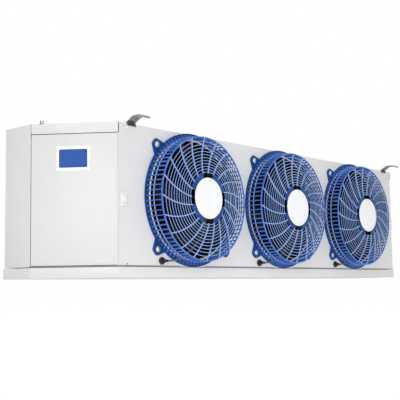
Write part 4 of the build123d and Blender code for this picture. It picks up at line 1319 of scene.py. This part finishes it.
# %% Tubes through the plates
def coil_tubes_mesh():
    """Three columns of tubes through all the plates, the middle one set between the others."""
    bm = bmesh.new()
    low, high = COIL_LOW, COIL_HIGH
    across = Matrix.Rotation(math.radians(90), 4, "Y")
    rows = 14
    for row in range(rows):
        for column in range(3):
            y = low.y + 0.022 + 0.044 * column
            stagger = 0.25 if column == 1 else -0.25
            z = low.z + 0.033 + (coil_size.z - 0.066) * (row + stagger) / (rows - 1)
            place = Matrix.Translation((low.x + 0.0012, y, z)) @ across
            lathe(bm, [(0.0078, 0.0), (0.0078, coil_size.x - 0.0024)], 14, place, closed=False)
    bmesh.ops.recalc_face_normals(bm, faces=bm.faces)
    return mesh_as_drawn(bm, "coil_tubes")


tubes = finish_piece("coil_tubes", coil_tubes_mesh(), "cabinet", COPPER, 40)
print("coil tubes", len(tubes.data.polygons), "faces")


# %% [markdown]
# ## Pipework
#
# The end bays hold the return bends, the suction header and the liquid line. Copper pipe is always
# round with a small lip where it is brazed, so each pipe is a tube drawn along its centreline.

# %% Tubes along a centreline
def tube_into(bm, points, radius, steps=20):
    """A round tube along points, each ring square to the line there."""
    rings = []
    # No pipe runs along this line, so the rings never lose their sense of direction.
    up = Vector((0.13, 0.29, 0.95)).normalized()
    for i, p in enumerate(points):
        before, after = points[max(i - 1, 0)], points[min(i + 1, len(points) - 1)]
        ahead = (Vector(after) - Vector(before)).normalized()
        side = ahead.cross(up).normalized()
        over = side.cross(ahead).normalized()
        rings.append([bm.verts.new(Vector(p) + radius * (math.cos(2 * math.pi * s / steps) * side
                                                         + math.sin(2 * math.pi * s / steps) * over))
                      for s in range(steps)])
    for low, high in zip(rings, rings[1:]):
        for s in range(steps):
            bm.faces.new((low[s], low[(s + 1) % steps], high[(s + 1) % steps], high[s]))
    bm.faces.new(rings[0][::-1])
    bm.faces.new(rings[-1])


# %% Return bends
TUBE_PITCH = 0.044


def bends_mesh(side):
    """U bends on one tube plate, drawn at the frame's own places, with brazed collars."""
    bm = bmesh.new()
    low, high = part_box(f"return_bends_{'left' if side < 0 else 'right'}")
    plate = side * min(abs(low.x), abs(high.x))
    bend, leg = TUBE_PITCH / 2, 0.014
    for row in range(4):
        z = low.z + 0.008 + 0.066 * row
        y0 = (low.y + 0.008) if row % 2 else (high.y - 0.008 - TUBE_PITCH)
        way_out = [(plate + side * out, y0, z) for out in (0.0, leg / 2, leg)]
        points = list(way_out)
        for s in range(13):
            a = math.pi * (s / 12 - 0.5)
            points.append((plate + side * (leg + bend * math.cos(a)), y0 + bend + bend * math.sin(a), z))
        points += [(x, y + TUBE_PITCH, z) for x, y, z in reversed(way_out)]
        kept = [points[0]]
        for p in points[1:]:
            if (Vector(p) - Vector(kept[-1])).length > 1e-4:
                kept.append(p)
        tube_into(bm, kept, 0.0078)
        for y in (y0, y0 + TUBE_PITCH):
            tube_into(bm, [(plate, y, z), (plate + side * 0.006, y, z)], 0.0092)
    return mesh_of(bm, "bends")


for side, name in ((-1, "left"), (1, "right")):
    piece = finish_piece(f"copper_bends_{name}", bends_mesh(side), "cabinet", COPPER, 40)
    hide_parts(f"return_bends_{name}")

# %% Places of the header, the liquid line and the drain
SUCTION_LOW, SUCTION_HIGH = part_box("suction_header")
LIQUID_LOW, LIQUID_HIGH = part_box("liquid_line")
DRAIN_LOW, DRAIN_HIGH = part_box("drain_fitting")
# Heights over the pan's foot, which hangs this far below the hanger slots.
HANG, SUCTION_UP, LIQUID_UP, COIL_MIDDLE_UP = 0.688, 0.190, 0.420, (0.0485 + 0.6585) / 2


# %% Suction header
def suction_mesh():
    """An upright pipe with its outlet to the rear and three branches to the coil."""
    bm = bmesh.new()
    x = SUCTION_HIGH.x - 0.02006
    y = SUCTION_LOW.y + 0.0166
    z = SUCTION_UP - HANG
    low, high = SUCTION_LOW.z, SUCTION_HIGH.z
    column = [(0.0, low), (0.0130, low), (0.0170, low + 0.004), (0.0174, low + 0.009), (0.0174, high - 0.009),
              (0.0170, high - 0.004), (0.0130, high), (0.0, high)]
    lathe(bm, column, 36, Matrix.Translation((x, y, 0)), closed=False)
    out = Matrix.Translation((x, y, z)) @ Matrix.Rotation(math.radians(-90), 4, "X")
    end = SUCTION_HIGH.y - y
    outlet = [(0.0, 0.0), (0.0198, 0.012), (0.0198, end - 0.0402), (0.01746, end - 0.0398), (0.01746, end),
              (0.0158, end), (0.0158, end - 0.030), (0.0, end - 0.030)]
    lathe(bm, outlet, 40, out, closed=False)
    for branch in (0.5, 1.5, 2.5):
        height = COIL_MIDDLE_UP + 0.066 * (branch - 1.0) - HANG
        tube_into(bm, [(SUCTION_LOW.x, y, height), (SUCTION_LOW.x + 0.03, y, height), (x, y, height)], 0.0048)
        tube_into(bm, [(SUCTION_LOW.x, y, height), (SUCTION_LOW.x + 0.006, y, height)], 0.0062)
    return mesh_of(bm, "suction")


piece = finish_piece("suction_header_pipe", suction_mesh(), "cabinet", COPPER, 40)
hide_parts("suction_header")


# %% Liquid line
def liquid_mesh():
    """A stepped pipe to the rear, with its feed to the coil."""
    bm = bmesh.new()
    x = LIQUID_HIGH.x - 0.01588
    y = LIQUID_LOW.y
    z = LIQUID_UP - HANG
    out = Matrix.Translation((x, y, z)) @ Matrix.Rotation(math.radians(-90), 4, "X")
    end = LIQUID_HIGH.y - y
    body = [(0.0, 0.0), (0.0120, 0.0), (0.0152, 0.003), (0.0152, 0.020), (0.0110, 0.026), (0.0105, 0.030),
            (0.0105, end - 0.0402), (0.00794, end - 0.0398), (0.00794, end), (0.0068, end),
            (0.0068, end - 0.025), (0.0, end - 0.025)]
    lathe(bm, body, 32, out, closed=False)
    feed = y + 0.00794
    tube_into(bm, [(LIQUID_LOW.x, feed, z), (LIQUID_LOW.x + 0.05, feed, z), (x, feed, z)], 0.0040)
    return mesh_of(bm, "liquid")


piece = finish_piece("liquid_line_pipe", liquid_mesh(), "cabinet", COPPER, 40)
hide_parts("liquid_line")


# %% Drain fitting
def drain_mesh():
    """A short hollow pipe through the pan's rear wall, with a six-sided nut."""
    bm = bmesh.new()
    x, z = (DRAIN_LOW.x + DRAIN_HIGH.x) / 2, (DRAIN_LOW.z + DRAIN_HIGH.z) / 2
    wall = DRAIN_HIGH.y - 0.035
    out = Matrix.Translation((x, wall, z)) @ Matrix.Rotation(math.radians(-90), 4, "X")
    pipe = [(0.0105, -0.0098), (0.0146, -0.0098), (0.0146, 0.0045), (0.01335, 0.0050), (0.01335, 0.0342),
            (0.0128, 0.0350), (0.0105, 0.0350)]
    lathe(bm, pipe, 40, out)
    nut = [(0.0189 * math.cos(a), 0.0189 * math.sin(a)) for a in (math.radians(60 * s) for s in range(6))]
    plate_into(bm, rounded(nut, 0.0012, 2), 0.0001, 0.0050, out, 0.0005)
    return mesh_of(bm, "drain")


piece = finish_piece("drain_brass_fitting", drain_mesh(), "pan", BRASS, 35)
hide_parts("drain_fitting")


# %% [markdown]
# ## Small things on the casing
#
# A plain two-tone plate on the left chamfer, a two-post clip on the roof, dark joints, a rubber bead
# on the pan's edge and a plastic bung beside the front corner. They are tiny, yet they are what
# tells sheet metal from a white block.

# %% Plate on the chamfer
PLATE_LEFT, PLATE_RIGHT, PLATE_FOOT, PLATE_TOP = 0.123, 0.266, 0.204, 0.101


def panel_outline(inset_x, inset_z, radius):
    """The plate's outline, moved in by an inset; x runs along the chamfer and y is the height."""
    left, right = PLATE_LEFT + inset_x, PLATE_RIGHT - inset_x
    low, high = ROOF_TOP - PLATE_FOOT + inset_z, ROOF_TOP - PLATE_TOP - inset_z
    return rounded([(left, low), (right, low), (right, high), (left, high)], radius, 3)


def plate_mesh():
    """A white film with a blue panel on it, in an upright frame whose z runs into the cabinet."""
    bm = bmesh.new()
    upright = chamfer_matrix(-1) @ Matrix.Rotation(math.radians(90), 4, "X")
    plate_into(bm, panel_outline(0.0, 0.0, 0.004), 0.0, -0.0006, upright)
    plate_into(bm, panel_outline(0.010, 0.012, 0.006), -0.0006, -0.0008, upright, material=1)
    return mesh_of(bm, "plate")


film = finish_piece("plain_plate", plate_mesh(), "door_left", [STICKER_WHITE, STICKER_BLUE],
                    30)
print("plate", [m.name for m in film.data.materials])


# %% Roof clip
CLIP_PLACE = (-HALF_FRONT - 0.194, FRONT_Y + 0.270)


def clip_mesh():
    """A small foot with two headed posts."""
    bm = bmesh.new()
    x, y = CLIP_PLACE
    box_into(bm, (x - 0.010, y - 0.005, ROOF_TOP), (x + 0.010, y + 0.005, ROOF_TOP + 0.002), bevel=0.0006)
    post = [(0.0, 0.0), (0.0018, 0.0), (0.0018, 0.0100), (0.0028, 0.0110), (0.0028, 0.0126), (0.0, 0.0132)]
    for dx in (-0.0065, 0.0065):
        lathe(bm, post, 14, Matrix.Translation((x + dx, y, ROOF_TOP + 0.001)), closed=False)
    return mesh_of(bm, "clip")


finish_piece("roof_clip", clip_mesh(), "cabinet", PLUG_BLACK, 35)


# %% Dark joints of the roof's front band
def seam_mesh():
    """The dark joints at both ends of the roof's front band."""
    bm = bmesh.new()
    for side in (-1, 1):
        x = side * HALF_FRONT
        box_into(bm, (min(x, x - side * 0.0016), FRONT_Y - 0.0022, DOOR_TOP + 0.002),
                 (max(x, x - side * 0.0016), FRONT_Y + 0.0002, ROOF_TOP - 0.003), Matrix.Identity(4), 0.0003)
        far = CHAMFER.length
        box_into(bm, (far - 0.0018, -0.0018, DOOR_TOP + 0.002), (far, 0.0002, ROOF_TOP - 0.003),
                 chamfer_matrix(side), 0.0003)
    return mesh_of(bm, "seams")


finish_piece("front_band_seams", seam_mesh(), "cabinet", PLUG_BLACK, 35)


# %% Rubber bead on the pan, and the bung
PAN_TOP, SEAL_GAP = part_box("drain_pan")[1].z, 0.08


def pan_seal_mesh():
    """A rubber bead on the pan's edge, where each door's foot comes down to it."""
    bm = bmesh.new()
    for side in (-1, 1):
        box_into(bm, (0.004, 0.0004, PAN_TOP - 0.0002), (CHAMFER.length - 0.004, 0.0018, PAN_TOP + 0.0026),
                 chamfer_matrix(side), 0.0003)
    # Along the front the bead stops short of each guard's flange.
    starts = [-HALF_FRONT, *[FANS[k].x + SEAL_GAP for k in FANS]]
    stops = [*[FANS[k].x - SEAL_GAP for k in FANS], HALF_FRONT]
    for left, right in zip(starts, stops):
        box_into(bm, (left, FRONT_Y - 0.0014, PAN_TOP - 0.0002), (right, FRONT_Y - 0.0002, PAN_TOP + 0.0018),
                 Matrix.Identity(4), 0.0003)
    return mesh_of(bm, "pan_seal")


finish_piece("pan_edge_seal", pan_seal_mesh(), "pan", PLUG_BLACK, 35)
bung_places = spots(0.0075, (0.054 - HALF_FRONT, FRONT_Y, ROOF_TOP - 0.015))
screw_set("front_bung", bung_places, TO_FRONT, 0.0, "cabinet", COLLAR_WHITE, recess=False)
# The patterns have served their last set.
for pattern in PATTERNS.values():
    bpy.data.objects.remove(pattern)


# %% [markdown]
# ## Floor, backdrop and light
#
# The cooler hangs, so the floor is well below it and takes only a soft shadow. The world is plain
# white to the camera and to reflections, and a little dimmer as light, so that a painted sheet shows
# about the colour that it was given. One large lamp from the front left models the corners.

# %% Stage
FLOOR_GLOW, FLOOR_GLOW_SHARE, FLOOR_DROP = 1.07, 0.88, 1.1


def stage_mesh():
    """A wide plain floor below the hanging cooler."""
    low, reach = PAN_FOOT - FLOOR_DROP, 30.0
    mesh = bpy.data.meshes.new("pale_floor")
    corners = [(-reach, -reach, low), (reach, -reach, low), (reach, reach, low), (-reach, reach, low)]
    mesh.from_pydata(corners, [], [(0, 1, 2, 3)])
    return mesh


def stage_material():
    """A floor that looks white and still takes a soft shadow."""
    material = bpy.data.materials.new("pale_floor")
    material.use_nodes = True
    tree = material.node_tree
    tree.nodes["Principled BSDF"].inputs["Base Color"].default_value = (0.92, 0.92, 0.92, 1)
    tree.nodes["Principled BSDF"].inputs["Roughness"].default_value = 0.9
    graph = Graph(tree, group=False)
    glow = graph.add("ShaderNodeEmission", {"Strength": FLOOR_GLOW}).outputs[0]
    eye = graph.add("ShaderNodeLightPath").outputs["Is Camera Ray"]
    mix = graph.add("ShaderNodeMixShader", {"Fac": graph.math("MULTIPLY", eye, FLOOR_GLOW_SHARE),
                                            1: tree.nodes["Principled BSDF"].outputs[0], 2: glow})
    graph.feed(tree.nodes["Material Output"].inputs["Surface"], mix.outputs[0])
    return material


floor = bpy.data.objects.new("pale_floor", stage_mesh())
floor.data.materials.append(stage_material())
scene.collection.objects.link(floor)
print("floor at", round(PAN_FOOT - FLOOR_DROP, 3))

# %% World: white to the eye, softer as light
world = bpy.data.worlds.new("studio")
scene.world = world
world.use_nodes = True
world.node_tree.nodes.clear()
sky = Graph(world.node_tree, group=False)
WORLD_LIGHT = 0.62
seen = sky.add("ShaderNodeBackground", {"Color": WHITE, "Strength": 1.0}).outputs[0]
lit = sky.add("ShaderNodeBackground", {"Color": WHITE, "Strength": WORLD_LIGHT}).outputs[0]
path = sky.add("ShaderNodeLightPath").outputs
either = sky.math("MAXIMUM", path["Is Camera Ray"], path["Is Glossy Ray"])
direct = sky.math("MAXIMUM", either, path["Is Transmission Ray"])
blend_light = sky.add("ShaderNodeMixShader", {0: direct, 1: lit, 2: seen})
sky.add("ShaderNodeOutputWorld", {"Surface": blend_light.outputs[0]})
print("world", len(world.node_tree.nodes), "nodes")


# %% Lamps
def lamp(name, place, aim, size, power):
    """A square lamp that looks at a point."""
    data = bpy.data.lights.new(name, "AREA")
    data.shape = "SQUARE"
    data.size = size
    data.energy = power
    obj = bpy.data.objects.new(name, data)
    obj.location = place
    obj.rotation_euler = (Vector(aim) - Vector(place)).to_track_quat("-Z", "Y").to_euler()
    scene.collection.objects.link(obj)
    return obj


lamp("key_left", (-5.2, -2.6, 0.6), (-0.9, -0.1, -0.35), 2.6, 70.0)
lamp("fill_front", (-0.4, -2.8, -1.1), (-0.1, -0.2, -0.45), 1.2, 17.0)
lamp("fill_rear", (1.5, 4.6, 1.0), (0.0, 0.2, -0.35), 2.6, 45.0)

# %% [markdown]
# ## Camera
#
# The camera stands to the left of the cooler, a little below its foot, and looks slightly up along
# the long front, as someone standing in a cold room would.

# %% Camera
FOCAL_LENGTH, SENSOR_WIDTH, FAR_CLIP = 74.77, 36.0, 100.0
CAMERA_PLACE = Vector((-3.52916, -2.8039, -0.7311))
CAMERA_RIGHT = Vector((0.664962, -0.746743, -0.014165))
CAMERA_UP = Vector((-0.068299, -0.079684, 0.994478))
CAMERA_AHEAD = Vector((0.743748, 0.660322, 0.103989))
camera_data = bpy.data.cameras.new("camera")
camera_data.lens = FOCAL_LENGTH
camera_data.sensor_width = SENSOR_WIDTH
camera_data.clip_end = FAR_CLIP
camera = bpy.data.objects.new("camera", camera_data)
turned = Matrix((CAMERA_RIGHT, CAMERA_UP, -CAMERA_AHEAD)).transposed().to_4x4()
camera.matrix_world = Matrix.Translation(CAMERA_PLACE) @ turned
scene.collection.objects.link(camera)
scene.camera = camera
scene.view_settings.view_transform = "Standard"
